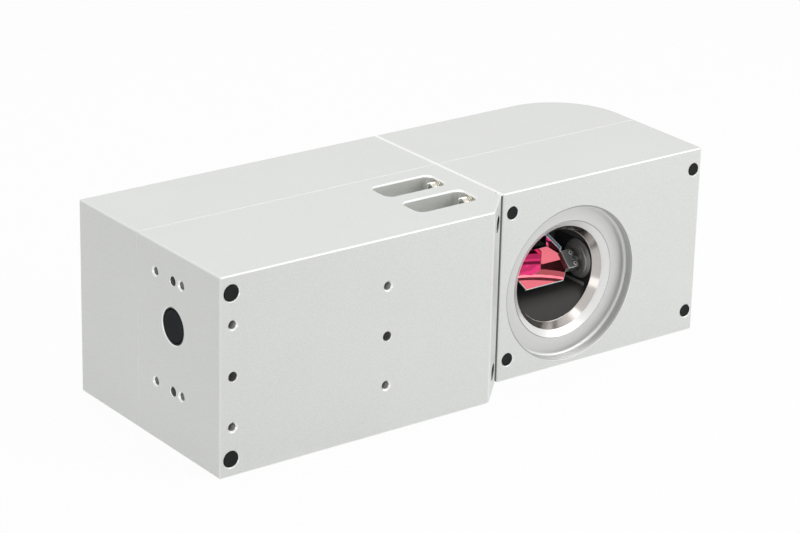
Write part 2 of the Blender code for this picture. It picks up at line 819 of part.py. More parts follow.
def scan_housing(materials, parent):
    body = piece("scan_housing", prism_mesh(scan_plan(), "Z", 0, body_height), materials["case"], parent)
    break_edges(body, edge_break)
    front = scan_setback
    low, high = scan_opening()
    cut(body, [box_mesh((low[0], front + scan_front_wall, low[1]),
                        (high[0], seam_depth + edge_break, high[1]))])
    add_seal("scan_seal", body, low, high, materials["rubber"], parent)
    centre = (aperture_x, aperture_z)
    boss_end = front + aperture_boss_depth
    boss_start = front + scan_front_wall - edge_break
    join(body, [drilled("Y", centre, aperture_boss_radius, boss_start, boss_end, WIDE_STEPS)])
    thread_floor = front + lens_thread_depth
    bore_floor = thread_floor + lens_bore_depth
    cut(body, [turned_mesh([
        (front - edge_break, 0), (front - edge_break, lens_thread_radius + edge_break),
        (front + edge_break, lens_thread_radius), (thread_floor, lens_thread_radius),
        (thread_floor, lens_bore_radius), (bore_floor, scan_bore_radius),
        (boss_end + edge_break, throat_radius), (boss_end + edge_break, 0),
    ], "Y", centre, WIDE_STEPS)])
    inner_left = scan_left + scan_joint_wall
    cut(body, [drilled("X", (beam_y, beam_z), beam_hole_radius, scan_left - edge_break,
                       inner_left + edge_break, MEDIUM_STEPS)])
    cut(body, [screw_path(place, front - edge_break, scan_plug_radius, scan_seat(), scan_screw_radius,
                          seam_depth + edge_break) for place in scan_corners()])
    cut(body, [drilled("X", (y, z), coupling_screw_radius + seat_gap, scan_left - edge_break,
                       joint_x + coupling_reach + seat_gap) for y, z, _, _ in coupling_places()])


def cover_plan(left, right, front, rear, radius):
    """The scan cover, or its hollow, seen from above, with the large rounded rear corner."""
    steps = 12
    centre = (right - radius, rear - radius)
    arc = [
        (centre[0] + radius * math.cos(math.pi / 2 * i / steps),
         centre[1] + radius * math.sin(math.pi / 2 * i / steps))
        for i in range(steps + 1)
    ]
    return [(left, front), (right, front), *arc, (left, rear)]


def connectors():
    """Name, centre and shell width of each connector in the rear wall."""
    x = scan_left + connector_x
    return (
        ("signal_connector", x, signal_connector_z, signal_shell_width),
        ("power_connector", x, power_connector_z, power_shell_width),
    )


def post_reach(width):
    return width / 2 + post_spacing


def scan_cover(materials, parent):
    plan = cover_plan(scan_left, scan_right, cover_front, body_depth, cover_corner_radius)
    body = piece("scan_cover", prism_mesh(plan, "Z", 0, body_height), materials["case"], parent)
    break_edges(body, edge_break)
    low, high = scan_opening()
    hollow = cover_plan(low[0], high[0], cover_front - edge_break, body_depth - cover_rear_wall,
                        cover_corner_radius - scan_end_wall)
    cut(body, [prism_mesh(hollow, "Z", low[1], high[1])])
    cut(body, [drilled("Y", place, scan_screw_radius + seat_gap, cover_front - edge_break,
                       scan_seat() + scan_screw_length + seat_gap) for place in scan_corners()])
    inner_rear = body_depth - cover_rear_wall
    recess_floor = body_depth - connector_recess
    for _, x, z, width in connectors():
        reach = post_reach(width) + post_radius + recess_margin
        tall = shell_height / 2 + recess_margin + recess_margin / 2
        outline = rounded_rectangle((x - reach, z - tall), (x + reach, z + tall), recess_margin, 3)
        cut(body, [prism_mesh(outline, "Y", recess_floor, body_depth + edge_break)])
        hole_x, hole_z = width / 2 + seat_gap, shell_height / 2 + seat_gap
        start = inner_rear - edge_break
        cut(body, [box_mesh((x - hole_x, start, z - hole_z), (x + hole_x, body_depth, z + hole_z))])
        cut(body, [drilled("Y", (x + side * post_reach(width), z), stud_radius + seat_gap, start,
                           body_depth, 8) for side in (-1, 1)])


def scan_fasteners(materials, parent):
    for number, place in enumerate(scan_corners(), start=1):
        plug(f"scan_plug_{number}", materials["black_rubber"], parent, place, scan_setback + plug_recess,
             scan_plug_radius, scan_plug_length)
        cap_screw(f"scan_corner_screw_{number}", materials["steel"], parent, "Y", place,
                  scan_seat() - seat_gap, 1,
                  (scan_screw_head_radius, scan_screw_head_length - seat_gap),
                  (scan_screw_radius, scan_screw_length))


# Galvo unit

def galvo_mount(materials, parent):
    """A floor with two walls, each holding a motor. The rear wall has an arch under its motor."""
    left = aperture_x - mount_left
    wall_x = aperture_x + mount_wall_x
    right = wall_x + mount_thickness_x
    front = scan_setback + aperture_boss_depth + seat_gap
    wall_y = beam_y + mount_wall_y
    rear = wall_y + mount_thickness_y
    lap = mount_floor - edge_break
    base = box_mesh((left, front, scan_side_wall + seat_gap), (right, rear, mount_floor))
    body = piece("galvo_mount", base, materials["black_metal"], parent)
    shoulder = [
        (wall_x, lap), (right, lap), (right, mount_shoulder),
        (wall_x + mount_chamfer, mount_shoulder), (wall_x, mount_shoulder - mount_chamfer),
    ]
    join(body, [prism_mesh(shoulder, "Y", front, wall_y + edge_break),
                box_mesh((left, wall_y, lap), (right, rear, mount_top))])
    cut(body, [box_mesh((left + mount_leg, wall_y - edge_break, mount_floor),
                        (wall_x, rear + edge_break, mount_floor + mount_arch_height))])
    bore = motor_radius + seat_gap
    cut(body, [drilled("X", second_axis(), bore, wall_x - edge_break, right + edge_break, MEDIUM_STEPS),
               drilled("Y", first_axis(), bore, wall_y - edge_break, rear + edge_break, MEDIUM_STEPS)])


def motor_profile():
    """Half section of a motor from its nose at 0: nose, case, and the hollow that holds bearing and rotor."""
    front = nose_length
    rear = nose_length + motor_length
    hole = shaft_radius + running_gap
    hollow = bearing_radius + seat_gap
    return [
        (0, hole), (front - seat_gap, hole), (front - seat_gap, hollow), (rear - motor_wall, hollow),
        (rear - motor_wall, hole), (rear, hole), (rear, motor_radius), (front, motor_radius),
        (front, nose_radius), (0, nose_radius),
    ]


def rotor_profile(start):
    """The shaft from the mirror clamp at start to the sensor, with the magnet inside the case."""
    magnet = nose_length + bearing_length + 3 * seat_gap + motor_wall
    return [
        (start, 0), (start, shaft_radius), (magnet, shaft_radius), (magnet, rotor_radius),
        (magnet + rotor_length, rotor_radius), (magnet + rotor_length, shaft_radius),
        (nose_length + motor_length, shaft_radius), (nose_length + motor_length, 0),
    ]


def bearing_profile():
    inner = shaft_radius + seat_gap
    return [(nose_length, inner), (nose_length + bearing_length, inner),
            (nose_length + bearing_length, bearing_radius), (nose_length, bearing_radius)]


def sensor_profile():
    start = nose_length + motor_length + seat_gap
    end = start + sensor_length
    return [(start, 0), (start, sensor_radius), (end, sensor_radius), (end, 0)]


def galvo(prefix, materials, fixed, turning, half_outline, nose_start):
    """One motor with its mirror, along local X from where the beam turns, with the glass in the XY plane."""
    tail, tail_half = half_outline[-1]
    half_outline = [*half_outline, (tail + clamp_overlap, tail_half)]
    outline = half_outline + [(along, -across) for along, across in reversed(half_outline)]
    glass = piece(f"{prefix}_mirror", prism_mesh(outline, "Z", -half_glass, half_glass),
                  materials["mirror"], turning)
    break_edges(glass, glass_bevel)
    clamp_left = tail + seat_gap
    clamp_right = clamp_left + clamp_length
    half = tail_half + edge_break
    half_clamp = clamp_thickness / 2
    hub_end = clamp_right + hub_length
    clamp = piece(f"{prefix}_mirror_clamp", box_mesh((clamp_left, -half, -half_clamp),
                                                     (clamp_right, half, half_clamp)),
                  materials["grey_metal"], turning)
    break_edges(clamp, edge_break / 2)
    join(clamp, [drilled("X", (0, 0), hub_radius, clamp_right - edge_break, hub_end, FAIR_STEPS)])
    cut(clamp, [box_mesh((clamp_left - edge_break, -tail_half - seat_gap, -half_glass - seat_gap),
                         (tail + clamp_overlap + seat_gap, tail_half + seat_gap, half_glass + seat_gap))])
    cut(clamp, [drilled("X", (0, 0), shaft_radius + seat_gap, clamp_right - edge_break,
                        hub_end + edge_break)])

    def placed(profile):
        return [(along + nose_start, radius) for along, radius in profile]

    start = clamp_right - nose_start
    piece(f"{prefix}_rotor", turned_mesh(placed(rotor_profile(start)), "X", (0, 0), SMALL_STEPS),
          materials["steel"], turning)
    piece(f"{prefix}_bearing", turned_mesh(placed(bearing_profile()), "X", (0, 0), SMALL_STEPS, closed=True),
          materials["steel"], fixed)
    piece(f"{prefix}_motor", turned_mesh(placed(motor_profile()), "X", (0, 0), MEDIUM_STEPS, closed=True),
          materials["dark_metal"], fixed)
    piece(f"{prefix}_position_sensor", turned_mesh(placed(sensor_profile()), "X", (0, 0), SMALL_STEPS),
          materials["black_plastic"], fixed)


def galvo_unit(materials, parent):
    galvo_mount(materials, parent)
    x1, z1 = first_axis()
    # Local X runs back along +Y, and the glass turns its face left and down
    first = Matrix(((0, DIAGONAL, DIAGONAL), (1, 0, 0), (0, -DIAGONAL, DIAGONAL))).to_4x4()
    y2, z2 = second_axis()
    # Local X runs along +X, and the glass turns its face forwards and up
    second = Matrix(((1, 0, 0), (0, DIAGONAL, -DIAGONAL), (0, DIAGONAL, DIAGONAL))).to_4x4()
    places = (
        ("first", (x1, beam_y, z1), first, first_glass, mount_wall_y - nose_length),
        ("second", (aperture_x, y2, z2), second, second_glass, mount_wall_x - nose_length),
    )
    for prefix, place, turn, glass, nose_start in places:
        turning = empty_at(f"{prefix}_axis", place, parent)
        fixed = empty_at(f"{prefix}_motor_place", place, parent)
        for empty in (turning, fixed):
            empty.rotation_euler = turn.to_euler()
        galvo(prefix, materials, fixed, turning, glass, nose_start)


# Electronics of the scan block

def driver_board(materials, parent):
    rear = body_depth - cover_rear_wall - flange_thickness - seat_gap - connector_body_depth - seat_gap
    left = scan_left + scan_joint_wall + board_margin / 2
    right = scan_right - cover_corner_radius - board_margin / 2
    piece("driver_board", box_mesh((left, rear - board_thickness, scan_side_wall + board_margin),
                                   (right, rear, body_height - scan_side_wall - board_margin)),
          materials["circuit_board"], parent)


def connector_parts(materials, parent):
    inner_rear = body_depth - cover_rear_wall
    recess_floor = body_depth - connector_recess
    flange_rear = inner_rear - seat_gap
    flange_front = flange_rear - flange_thickness
    lip = body_depth - edge_break
    for name, x, z, width in connectors():
        reach = post_reach(width) + post_radius
        flange = box_mesh((x - reach, flange_front, z - flange_height / 2),
                          (x + reach, flange_rear, z + flange_height / 2))
        body = piece(name, flange, materials["steel"], parent)
        tall = shell_height / 2
        join(body, [box_mesh((x - width / 2, flange_rear - flange_thickness / 2, z - tall),
                             (x + width / 2, lip, z + tall))])
        cut(body, [box_mesh((x - width / 2 + shell_wall, recess_floor, z - tall + shell_wall),
                            (x + width / 2 - shell_wall, body_depth, z + tall - shell_wall))])
        join(body, [box_mesh((x - width / 2, flange_front - connector_body_depth, z - tall),
                             (x + width / 2, flange_front + flange_thickness / 2, z + tall))])
        for side in (-1, 1):
            post = (x + side * post_reach(width), z)
            join(body, [drilled("Y", post, stud_radius, flange_rear - flange_thickness / 2,
                                recess_floor + post_radius, 8)])
            join(body, [drilled("Y", post, post_radius, recess_floor + seat_gap, lip, 6)])


def build():
    clear_scene()
    materials = {
        "case": finish_material("Anodised case", (0.80, 0.81, 0.79), 0.42, 0.85),
        "bright_metal": finish_material("Bright aluminium", (0.82, 0.82, 0.81), 0.25, 1.0),
        "black_metal": finish_material("Black anodised", (0.03, 0.03, 0.032), 0.5, 0.4),
        "grey_metal": finish_material("Grey anodised", (0.16, 0.17, 0.17), 0.4, 0.6),
        "dark_metal": finish_material("Dark motor case", (0.08, 0.08, 0.085), 0.35, 0.7),
        "steel": finish_material("Bright steel", (0.72, 0.70, 0.66), 0.25, 1.0),
        "copper": finish_material("Copper winding", (0.75, 0.36, 0.16), 0.4, 1.0),
        "mirror": finish_material("Pink coated mirror", (0.90, 0.30, 0.36), 0.04, 1.0),
        "glass": finish_material("Lens glass", (0.80, 0.90, 0.88), 0.05, 0.0),
        "dark_glass": finish_material("Dark coated window", (0.02, 0.024, 0.028), 0.1, 0.0),
        "rubber": finish_material("Seal rubber", (0.02, 0.02, 0.02), 0.7, 0.0),
        "black_rubber": finish_material("Black plug", (0.018, 0.018, 0.018), 0.6, 0.0),
        "black_plastic": finish_material("Black plastic", (0.02, 0.02, 0.022), 0.45, 0.0),
        "circuit_board": finish_material("Circuit board", (0.02, 0.16, 0.07), 0.4, 0.0),
    }
    bench = empty_at("head", (-scan_right / 2, -body_depth / 2, 0))
    focus_housing(materials, bench)
    focus_cover(materials, bench)
    focus_fasteners(materials, bench)
    entry_parts(materials, bench)
    focus_bench(materials, bench)
    magnet_yoke(materials, bench)
    focus_carriage(materials, empty_at("carriage_place", (carriage_x, beam_y, beam_z), bench))
    encoder_reader(materials, bench)
    objective(materials, bench)
    focus_board(materials, bench)
    coupling_seal(materials, bench)
    coupling_screws(materials, bench)
    scan_housing(materials, bench)
    scan_cover(materials, bench)
    scan_fasteners(materials, bench)
    galvo_unit(materials, bench)
    driver_board(materials, bench)
    connector_parts(materials, bench)


build()
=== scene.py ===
# %% [markdown]
# # A galvo scanner head with a dynamic focus block
# The head is two milled aluminium blocks joined end to end. A laser beam enters through the dark window
# in the left end, passes a lens that slides along it, and meets two small mirrors on fast motors. They
# steer it out through the large round aperture in the right block. The solids of the model are already
# there as a fixed frame: this script gives them the fine edges, holes, threads and finishes.

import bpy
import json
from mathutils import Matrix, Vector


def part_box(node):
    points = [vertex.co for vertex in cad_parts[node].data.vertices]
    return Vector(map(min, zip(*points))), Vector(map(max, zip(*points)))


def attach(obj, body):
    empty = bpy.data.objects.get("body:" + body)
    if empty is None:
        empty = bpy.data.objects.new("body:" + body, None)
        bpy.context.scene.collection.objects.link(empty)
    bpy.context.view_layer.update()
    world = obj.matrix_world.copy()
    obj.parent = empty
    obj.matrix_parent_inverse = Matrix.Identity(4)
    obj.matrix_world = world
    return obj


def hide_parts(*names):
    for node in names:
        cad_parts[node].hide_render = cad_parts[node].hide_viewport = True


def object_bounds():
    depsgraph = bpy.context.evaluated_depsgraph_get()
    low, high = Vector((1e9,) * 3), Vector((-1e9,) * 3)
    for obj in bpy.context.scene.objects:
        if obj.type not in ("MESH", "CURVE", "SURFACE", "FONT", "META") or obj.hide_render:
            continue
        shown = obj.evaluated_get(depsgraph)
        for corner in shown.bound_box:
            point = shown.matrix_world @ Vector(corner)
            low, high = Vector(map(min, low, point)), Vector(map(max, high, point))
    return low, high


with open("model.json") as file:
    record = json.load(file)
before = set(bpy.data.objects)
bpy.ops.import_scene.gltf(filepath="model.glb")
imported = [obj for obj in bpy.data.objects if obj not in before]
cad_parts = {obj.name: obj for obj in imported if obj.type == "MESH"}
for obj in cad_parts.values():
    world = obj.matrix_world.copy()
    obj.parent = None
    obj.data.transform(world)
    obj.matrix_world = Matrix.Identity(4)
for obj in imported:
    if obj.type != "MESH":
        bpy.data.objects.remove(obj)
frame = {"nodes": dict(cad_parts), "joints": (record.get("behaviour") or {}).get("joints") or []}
cad_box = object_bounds()

# %% [markdown]
# ## One drawing for everything
# A machinist reads a block from its corner in millimetres, so every shape below is drawn that way: x from
# the left end, y from the front face of the focus block, z from the underside. One matrix then carries a
# finished shape into metres. The main lengths are read from the frame, so the drawing can't disagree.

# %% The drawing's corner and the main lengths
import json
import math

import bmesh
import bpy
from mathutils import Matrix, Vector

MM = 0.001
corner = cad_box[0]
to_world = Matrix.Translation(corner) @ Matrix.Scale(MM, 4)


def drawn(node):
    """The two corners of a node's box, in drawing millimetres."""
    low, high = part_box(node)
    return (low - corner) / MM, (high - corner) / MM


def place_of(joint_name):
    found = next(joint for joint in frame["joints"] if joint["name"] == joint_name)
    return (Vector(found["pos_m"]) - corner) / MM


joint_x, seam_y, height = drawn("focus_housing")[1]
scan_x, scan_front, _ = drawn("scan_housing")[0]
right_x = drawn("scan_housing")[1].x
rear_y = drawn("focus_cover")[1].y
window_low, window_high = drawn("entry_window")
beam_y, beam_z = (window_low.y + window_high.y) / 2, (window_low.z + window_high.z) / 2
first_pivot, second_pivot = place_of("first_mirror_turn"), place_of("second_mirror_turn")
aperture_x, aperture_z = second_pivot.x, beam_z - 24
print(f"Blocks: {joint_x:.1f} and {right_x - scan_x:.1f} long, {rear_y:.1f} deep, {height:.1f} high, in mm")

# %% [markdown]
# ## Camera, floor and light
# The camera comes first, because every later choice is judged through it. It stands to the left, in front
# and above, with a long lens that keeps the blocks' edges nearly parallel.

# %% Camera
camera = bpy.data.objects.new("camera", bpy.data.cameras.new("camera"))
bpy.context.scene.collection.objects.link(camera)
bpy.context.scene.camera = camera
camera_azimuth, camera_elevation, camera_roll = map(math.radians, (-36.9594, 21.3056, 1.3924))
camera.location = (-1.05659, -1.39539, 0.74915)
camera.rotation_euler = (
    Matrix.Rotation(camera_azimuth, 3, "Z")
    @ Matrix.Rotation(math.pi / 2 - camera_elevation, 3, "X")
    @ Matrix.Rotation(camera_roll, 3, "Z")
).to_euler()
camera.data.lens = 134.658
camera.data.clip_start = 0.05
print("The camera stands", round((camera.location - (cad_box[0] + cad_box[1]) / 2).length, 2), "m away")

# %% [markdown]
# ## Shader maths as plain expressions
# A material is a small graph. Writing it with arithmetic reads better than a list of links, so `Wire`
# wraps an output socket and turns `+ - *` into Math nodes, and `Sheet.node` adds any other node.

# %% A wrapper for sockets
class Wire:
    """The output of a node. Arithmetic on it adds Math nodes to the same tree."""

    def __init__(self, sheet, socket):
        self.sheet = sheet
        self.socket = socket

    def math(self, operation, first, second=0.0):
        return self.sheet.node("ShaderNodeMath", {"operation": operation}, {0: first, 1: second})

    def __add__(self, other):
        return self.math("ADD", self, other)

    def __sub__(self, other):
        return self.math("SUBTRACT", self, other)

    def __mul__(self, other):
        return self.math("MULTIPLY", self, other)

    def __rsub__(self, other):
        return self.math("SUBTRACT", other, self)

    __radd__, __rmul__ = __add__, __mul__

    def root(self):
        return self.math("SQRT", self)

    def ramp(self, low, high):
        """0 below low, 1 above high, and smooth between them."""
        settings = {"interpolation_type": "SMOOTHSTEP"}
        return self.sheet.node("ShaderNodeMapRange", settings, {0: self, 1: low, 2: high})


class Sheet:
    """The node tree of a material or of the world."""

    def __init__(self, owner):
        owner.use_nodes = True
        self.tree = owner.node_tree

    def put(self, socket, value):
        if isinstance(value, Wire):
            self.tree.links.new(value.socket, socket)
        else:
            socket.default_value = value

    def node(self, kind, settings, sockets, output=0):
        made = self.tree.nodes.new(kind)
        for name, value in settings.items():
            setattr(made, name, value)
        for name, value in sockets.items():
            self.put(made.inputs[name], value)
        return Wire(self, made.outputs[output])

    def mix(self, share, first, second):
        """A colour between two colours, where share is 0 for the first."""
        return self.node("ShaderNodeMix", {"data_type": "RGBA"}, {0: share, 6: first, 7: second}, output=2)

    def place(self):
        return self.node("ShaderNodeTexCoord", {}, {}, output="Object")

    def noise(self, scale, detail=2.0, roughness=0.5, vector=None):
        sockets = {"Vector": vector or self.place(), "Scale": scale, "Detail": detail, "Roughness": roughness}
        return self.node("ShaderNodeTexNoise", {}, sockets)

    def parts(self, vector):
        split = self.node("ShaderNodeSeparateXYZ", {}, {0: vector}).socket.node
        return [Wire(self, output) for output in split.outputs]


print("Wires and sheets are ready")

# %% [markdown]
# The picture has a pure white surround. The floor and the world are white to the camera and in
# reflections, while the soft lamps and a dimmer sky do the lighting, so pale metal keeps its tone.

# %% Floor
floor_glow = 0.94


def seen_rays(sheet):
    """1 for the rays that show the room itself: to the camera, in gloss and through glass."""
    rays = sheet.node("ShaderNodeLightPath", {}, {}).socket.node
    kinds = ("Is Camera Ray", "Is Glossy Ray", "Is Transmission Ray")
    camera_ray, glossy_ray, glass_ray = (Wire(sheet, rays.outputs[kind]) for kind in kinds)
    return camera_ray + glossy_ray + glass_ray


def floor_finish():
    material = bpy.data.materials.new("White table")
    sheet = Sheet(material)
    shader = sheet.tree.nodes["Principled BSDF"]
    sheet.put(shader.inputs["Base Color"], (0.9, 0.9, 0.9, 1))
    sheet.put(shader.inputs["Roughness"], 0.9)
    glow = sheet.node("ShaderNodeEmission", {}, {"Color": (1, 1, 1, 1), "Strength": 1.0})
    surface = Wire(sheet, shader.outputs[0])
    both = sheet.node("ShaderNodeMixShader", {}, {0: seen_rays(sheet) * floor_glow, 1: surface, 2: glow})
    sheet.put(sheet.tree.nodes["Material Output"].inputs["Surface"], both)
    return material


floor_mesh = bpy.data.meshes.new("floor")
reach = 6.0
floor_mesh.from_pydata([(-reach, -reach, 0), (reach, -reach, 0), (reach, reach, 0), (-reach, reach, 0)],
                       [], [(0, 1, 2, 3)])
floor_mesh.materials.append(floor_finish())
floor = bpy.data.objects.new("floor", floor_mesh)
bpy.context.scene.collection.objects.link(floor)
print("The floor reaches", reach, "m each way")

# %% World and lamps
world = bpy.data.worlds.new("white room")
bpy.context.scene.world = world
room = Sheet(world)
sky = room.tree.nodes["Background"].inputs
sky_strength = 0.42
room.put(sky["Color"], (1, 1, 1, 1))
room.put(sky["Strength"], seen_rays(room) * (1 - sky_strength) + sky_strength)


def soft_lamp(name, place, aim, width, height, power):
    lamp = bpy.data.objects.new(name, bpy.data.lights.new(name, "AREA"))
    bpy.context.scene.collection.objects.link(lamp)
    lamp.data.shape = "RECTANGLE"
    lamp.data.size = width
    lamp.data.size_y = height
    lamp.data.energy = power
    lamp.location = place
    lamp.rotation_euler = (Vector(aim) - Vector(place)).to_track_quat("-Z", "Y").to_euler()
    return lamp


soft_lamp("overhead", (-0.1, 0.15, 1.7), (0, 0, 0.06), 1.6, 1.6, 13)
soft_lamp("right_front", (0.75, -0.95, 0.62), (0.1, 0, 0.06), 0.8, 0.8, 6.0)
soft_lamp("left_front", (-1.5, -0.9, 0.3), (-0.1, 0, 0.03), 0.9, 0.5, 1.5)
bpy.context.scene.view_settings.view_transform = "Standard"
print("Three soft lamps and a sky of strength", sky_strength)

# %% [markdown]
# The photographer's light also reaches into the scan chamber. A faint lamp of 76 by 26 mm, hidden behind
# the front wall above the aperture, does that here, and the mirrors have something bright to reflect.

# %% Chamber lamp
chamber_lamp = to_world @ Vector((aperture_x + 22, 39.0, aperture_z + 45))
soft_lamp("chamber", chamber_lamp, chamber_lamp + Vector((0, 1, -0.1)), 76 * MM, 26 * MM, 0.006)
print("The chamber lamp is at", [round(value, 3) for value in chamber_lamp])

# %% [markdown]
# ## Finishes of the case
# The case is bead blasted and clear anodised: a matt silver skin with a fine speckle. Two noises give it:
# a grain finer than a millimetre, and a much wider, fainter cloud. About half of the base is left
# non-metallic, because the anodic skin scatters light the way paint does.

# %% The anodised skin
def make_finish(name, colour, roughness, metallic):
    material = bpy.data.materials.new(name)
    sheet = Sheet(material)
    shader = sheet.tree.nodes["Principled BSDF"]
    sheet.put(shader.inputs["Base Color"], (*colour, 1))
    sheet.put(shader.inputs["Roughness"], roughness)
    sheet.put(shader.inputs["Metallic"], metallic)
    return sheet, shader.inputs, material


def shade(colour, factor):
    return tuple(min(1.0, channel * factor) for channel in colour) + (1.0,)


def shades(colour, contrast):
    """A darker and a lighter shade of a colour."""
    return shade(colour, 1 - contrast), shade(colour, 1 + contrast)


def raise_skin(sheet, sockets, height_map, strength, distance):
    sockets_in = {"Strength": strength, "Distance": distance, "Height": height_map}
    sheet.put(sockets["Normal"], sheet.node("ShaderNodeBump", {}, sockets_in))


def blasted(name, colour, roughness, metallic, contrast):
    sheet, sockets, material = make_finish(name, colour, roughness, metallic)
    grain = sheet.noise(1500, detail=3, roughness=0.65)
    cloud = sheet.noise(14, detail=2)
    tone = grain.ramp(0.3, 0.7) * 0.7 + cloud * 0.3
    sheet.put(sockets["Base Color"], sheet.mix(tone, *shades(colour, contrast)))
    sheet.put(sockets["Roughness"], grain * 0.16 + (roughness - 0.08))
    raise_skin(sheet, sockets, grain, 0.30, 0.00006)
    return material


case_colour = (0.70, 0.71, 0.69)
anodised = blasted("Blasted anodised aluminium", case_colour, 0.46, 0.55, 0.075)
print("Made", anodised.name)

# %% [markdown]
# Hole mouths and milled edges are cut after blasting, so they are brighter and smoother. The blocks' rounded
# edges keep the blasted skin, painted a little lighter as a painted highlight. The aperture is turned
# on a lathe, and its fine grooves are circles: noise that depends only on the distance from the axis and
# on the depth gives rings. The same idea, with lines instead of circles, gives drawn or ground metal.

# %% Cut edges and turned bores
def cut_metal(name, colour, roughness):
    sheet, sockets, material = make_finish(name, colour, roughness, 0.75)
    fine = sheet.noise(900, detail=2)
    sheet.put(sockets["Roughness"], fine * 0.15 + (roughness - 0.07))
    sheet.put(sockets["Base Color"], sheet.mix(fine, *shades(colour, 0.04)))
    return material


def turned(name, colour, roughness, middle, across, contrast=0.05, relief=0.15, metallic=0.6):
    """Rings round an axis. across holds the two axis letters square to it, and middle its place on them."""
    sheet, sockets, material = make_finish(name, colour, roughness, metallic)
    place = dict(zip("XYZ", sheet.parts(sheet.place())))
    first, second = (place[letter] - centre for letter, centre in zip(across, middle))
    along = next(place[letter] for letter in "XYZ" if letter not in across)
    radius = (first * first + second * second).root()
    grooves = sheet.node("ShaderNodeCombineXYZ", {}, {0: radius, 1: along})
    rings = sheet.noise(3200, detail=3, roughness=0.6, vector=grooves)
    wide = sheet.noise(260, detail=1, vector=grooves)
    tone = rings * 0.6 + wide * 0.4
    sheet.put(sockets["Base Color"], sheet.mix(tone.ramp(0.3, 0.7), *shades(colour, contrast)))
    sheet.put(sockets["Roughness"], rings * 0.14 + (roughness - 0.07))
    raise_skin(sheet, sockets, rings, relief, 0.00003)
    return material


def world_of(x, y, z):
    return to_world @ Vector((x, y, z))


bore_centre = world_of(aperture_x, 0, aperture_z)
beam_centre = world_of(0, beam_y, beam_z)
bore_axis, beam_axis = (bore_centre.x, bore_centre.z), (beam_centre.y, beam_centre.z)
# The rounded edges: the blasted skin painted lighter, a painted highlight.
edge_painted_highlight = blasted("Broken edge, painted highlight", (0.79, 0.80, 0.78), 0.40, 0.5, 0.03)
bright_edge = cut_metal("Cut edge", (0.86, 0.865, 0.86), 0.34)
turned_bore = turned("Turned ledge", (0.66, 0.665, 0.655), 0.42, bore_axis, "XZ", 0.03)
turned_cone = turned("Turned cone", (0.80, 0.80, 0.79), 0.36, bore_axis, "XZ", 0.06)
# The recess wall's dark grey is painted shade.
recess_wall_painted_shade = turned("Turned recess wall, painted shade", (0.40, 0.40, 0.395), 0.42, bore_axis, "XZ", 0.10)
# The throat's darker, warm-tinted colour is a painted reflection of the dark chamber.
throat_painted_reflection = turned("Fine-turned throat, painted reflection", (0.52, 0.49, 0.465), 0.16, bore_axis, "XZ", relief=0.04,
                   metallic=1.0)
turned_entry = turned("Turned entry", (0.80, 0.80, 0.79), 0.3, beam_axis, "YZ")
# The thread's dark grey is painted shade inside the hole.
thread_painted_shade = cut_metal("Tapped thread, painted shade", (0.27, 0.27, 0.26), 0.42)
# The joint's dark grey is painted shade.
joint_painted_shade = cut_metal("Joint, painted shade", (0.20, 0.20, 0.195), 0.5)
joint_light = cut_metal("Joint chamfer", (0.97, 0.97, 0.965), 0.3)
# The reamed hole's grey is painted shade inside the hole.
reamed_hole_painted_shade = cut_metal("Reamed hole, painted shade", (0.42, 0.42, 0.41), 0.5)
print("Made", edge_painted_highlight.name, bright_edge.name, "and nine turned, tapped and milled finishes")

# %% [markdown]
# ## Finishes of what sits inside
# The small parts have finishes of their own: moulded plugs, zinc-plated screws, black anodised optics
# holders, and glass. The mirrors are the one strong colour. Their coating reflects the laser and, in
# white light, a coral pink on the second mirror and, at the first one's slant, a violet. Each is a metal
# with that base colour, and light that meets both mirrors turns magenta by itself.

# %% Plugs, screws and black metal
def moulded(name, colour, roughness, specular=0.3):
    sheet, sockets, material = make_finish(name, colour, roughness, 0.0)
    sheet.put(sockets["Specular IOR Level"], specular)
    pores = sheet.noise(1800, detail=3)
    sheet.put(sockets["Base Color"], sheet.mix(pores, shade(colour, 0.75), shade(colour, 1.3)))
    sheet.put(sockets["Roughness"], pores * 0.2 + (roughness - 0.1))
    raise_skin(sheet, sockets, pores, 0.3, 0.00008)
    return material


def plated(name, colour, roughness, tint):
    """Plated steel: a bright metal whose tint comes and goes in soft patches."""
    sheet, sockets, material = make_finish(name, colour, roughness, 1.0)
    patches = sheet.noise(350, detail=3)
    streaks = sheet.noise(1500, detail=2)
    sheet.put(sockets["Base Color"], sheet.mix(patches.ramp(0.35, 0.65), (*colour, 1), (*tint, 1)))
    sheet.put(sockets["Roughness"], streaks * 0.2 + (roughness - 0.1))
    return material


def black_anodised(name, colour, roughness, metallic=0.35):
    sheet, sockets, material = make_finish(name, colour, roughness, metallic)
    grain = sheet.noise(1600, detail=3)
    sheet.put(sockets["Base Color"], sheet.mix(grain, shade(colour, 0.8), shade(colour, 1.25)))
    sheet.put(sockets["Roughness"], grain * 0.18 + (roughness - 0.09))
    raise_skin(sheet, sockets, grain, 0.25, 0.00005)
    return material


black_plug = moulded("Black plug", (0.011, 0.012, 0.012), 0.6, specular=0.16)
black_plastic = moulded("Black plastic", (0.018, 0.018, 0.020), 0.45)
seal_rubber = moulded("Seal rubber", (0.015, 0.015, 0.015), 0.7)
zinc_screw = plated("Zinc-plated screw", (0.80, 0.79, 0.77), 0.24, (0.76, 0.73, 0.64))
yellow_zinc = plated("Yellow zinc washer", (0.74, 0.72, 0.64), 0.3, (0.66, 0.61, 0.48))
ground_steel = plated("Ground steel", (0.66, 0.66, 0.66), 0.28, (0.58, 0.58, 0.59))
satin_black = black_anodised("Black anodised metal", (0.029, 0.028, 0.028), 0.6)
mount_black = black_anodised("Matt black mount", (0.042, 0.040, 0.039), 0.8, metallic=0.0)
# The side wall's near black is painted shade.
side_wall_painted_shade = black_anodised("Mount's side wall, painted shade", (0.012, 0.012, 0.012), 0.7, metallic=0.0)
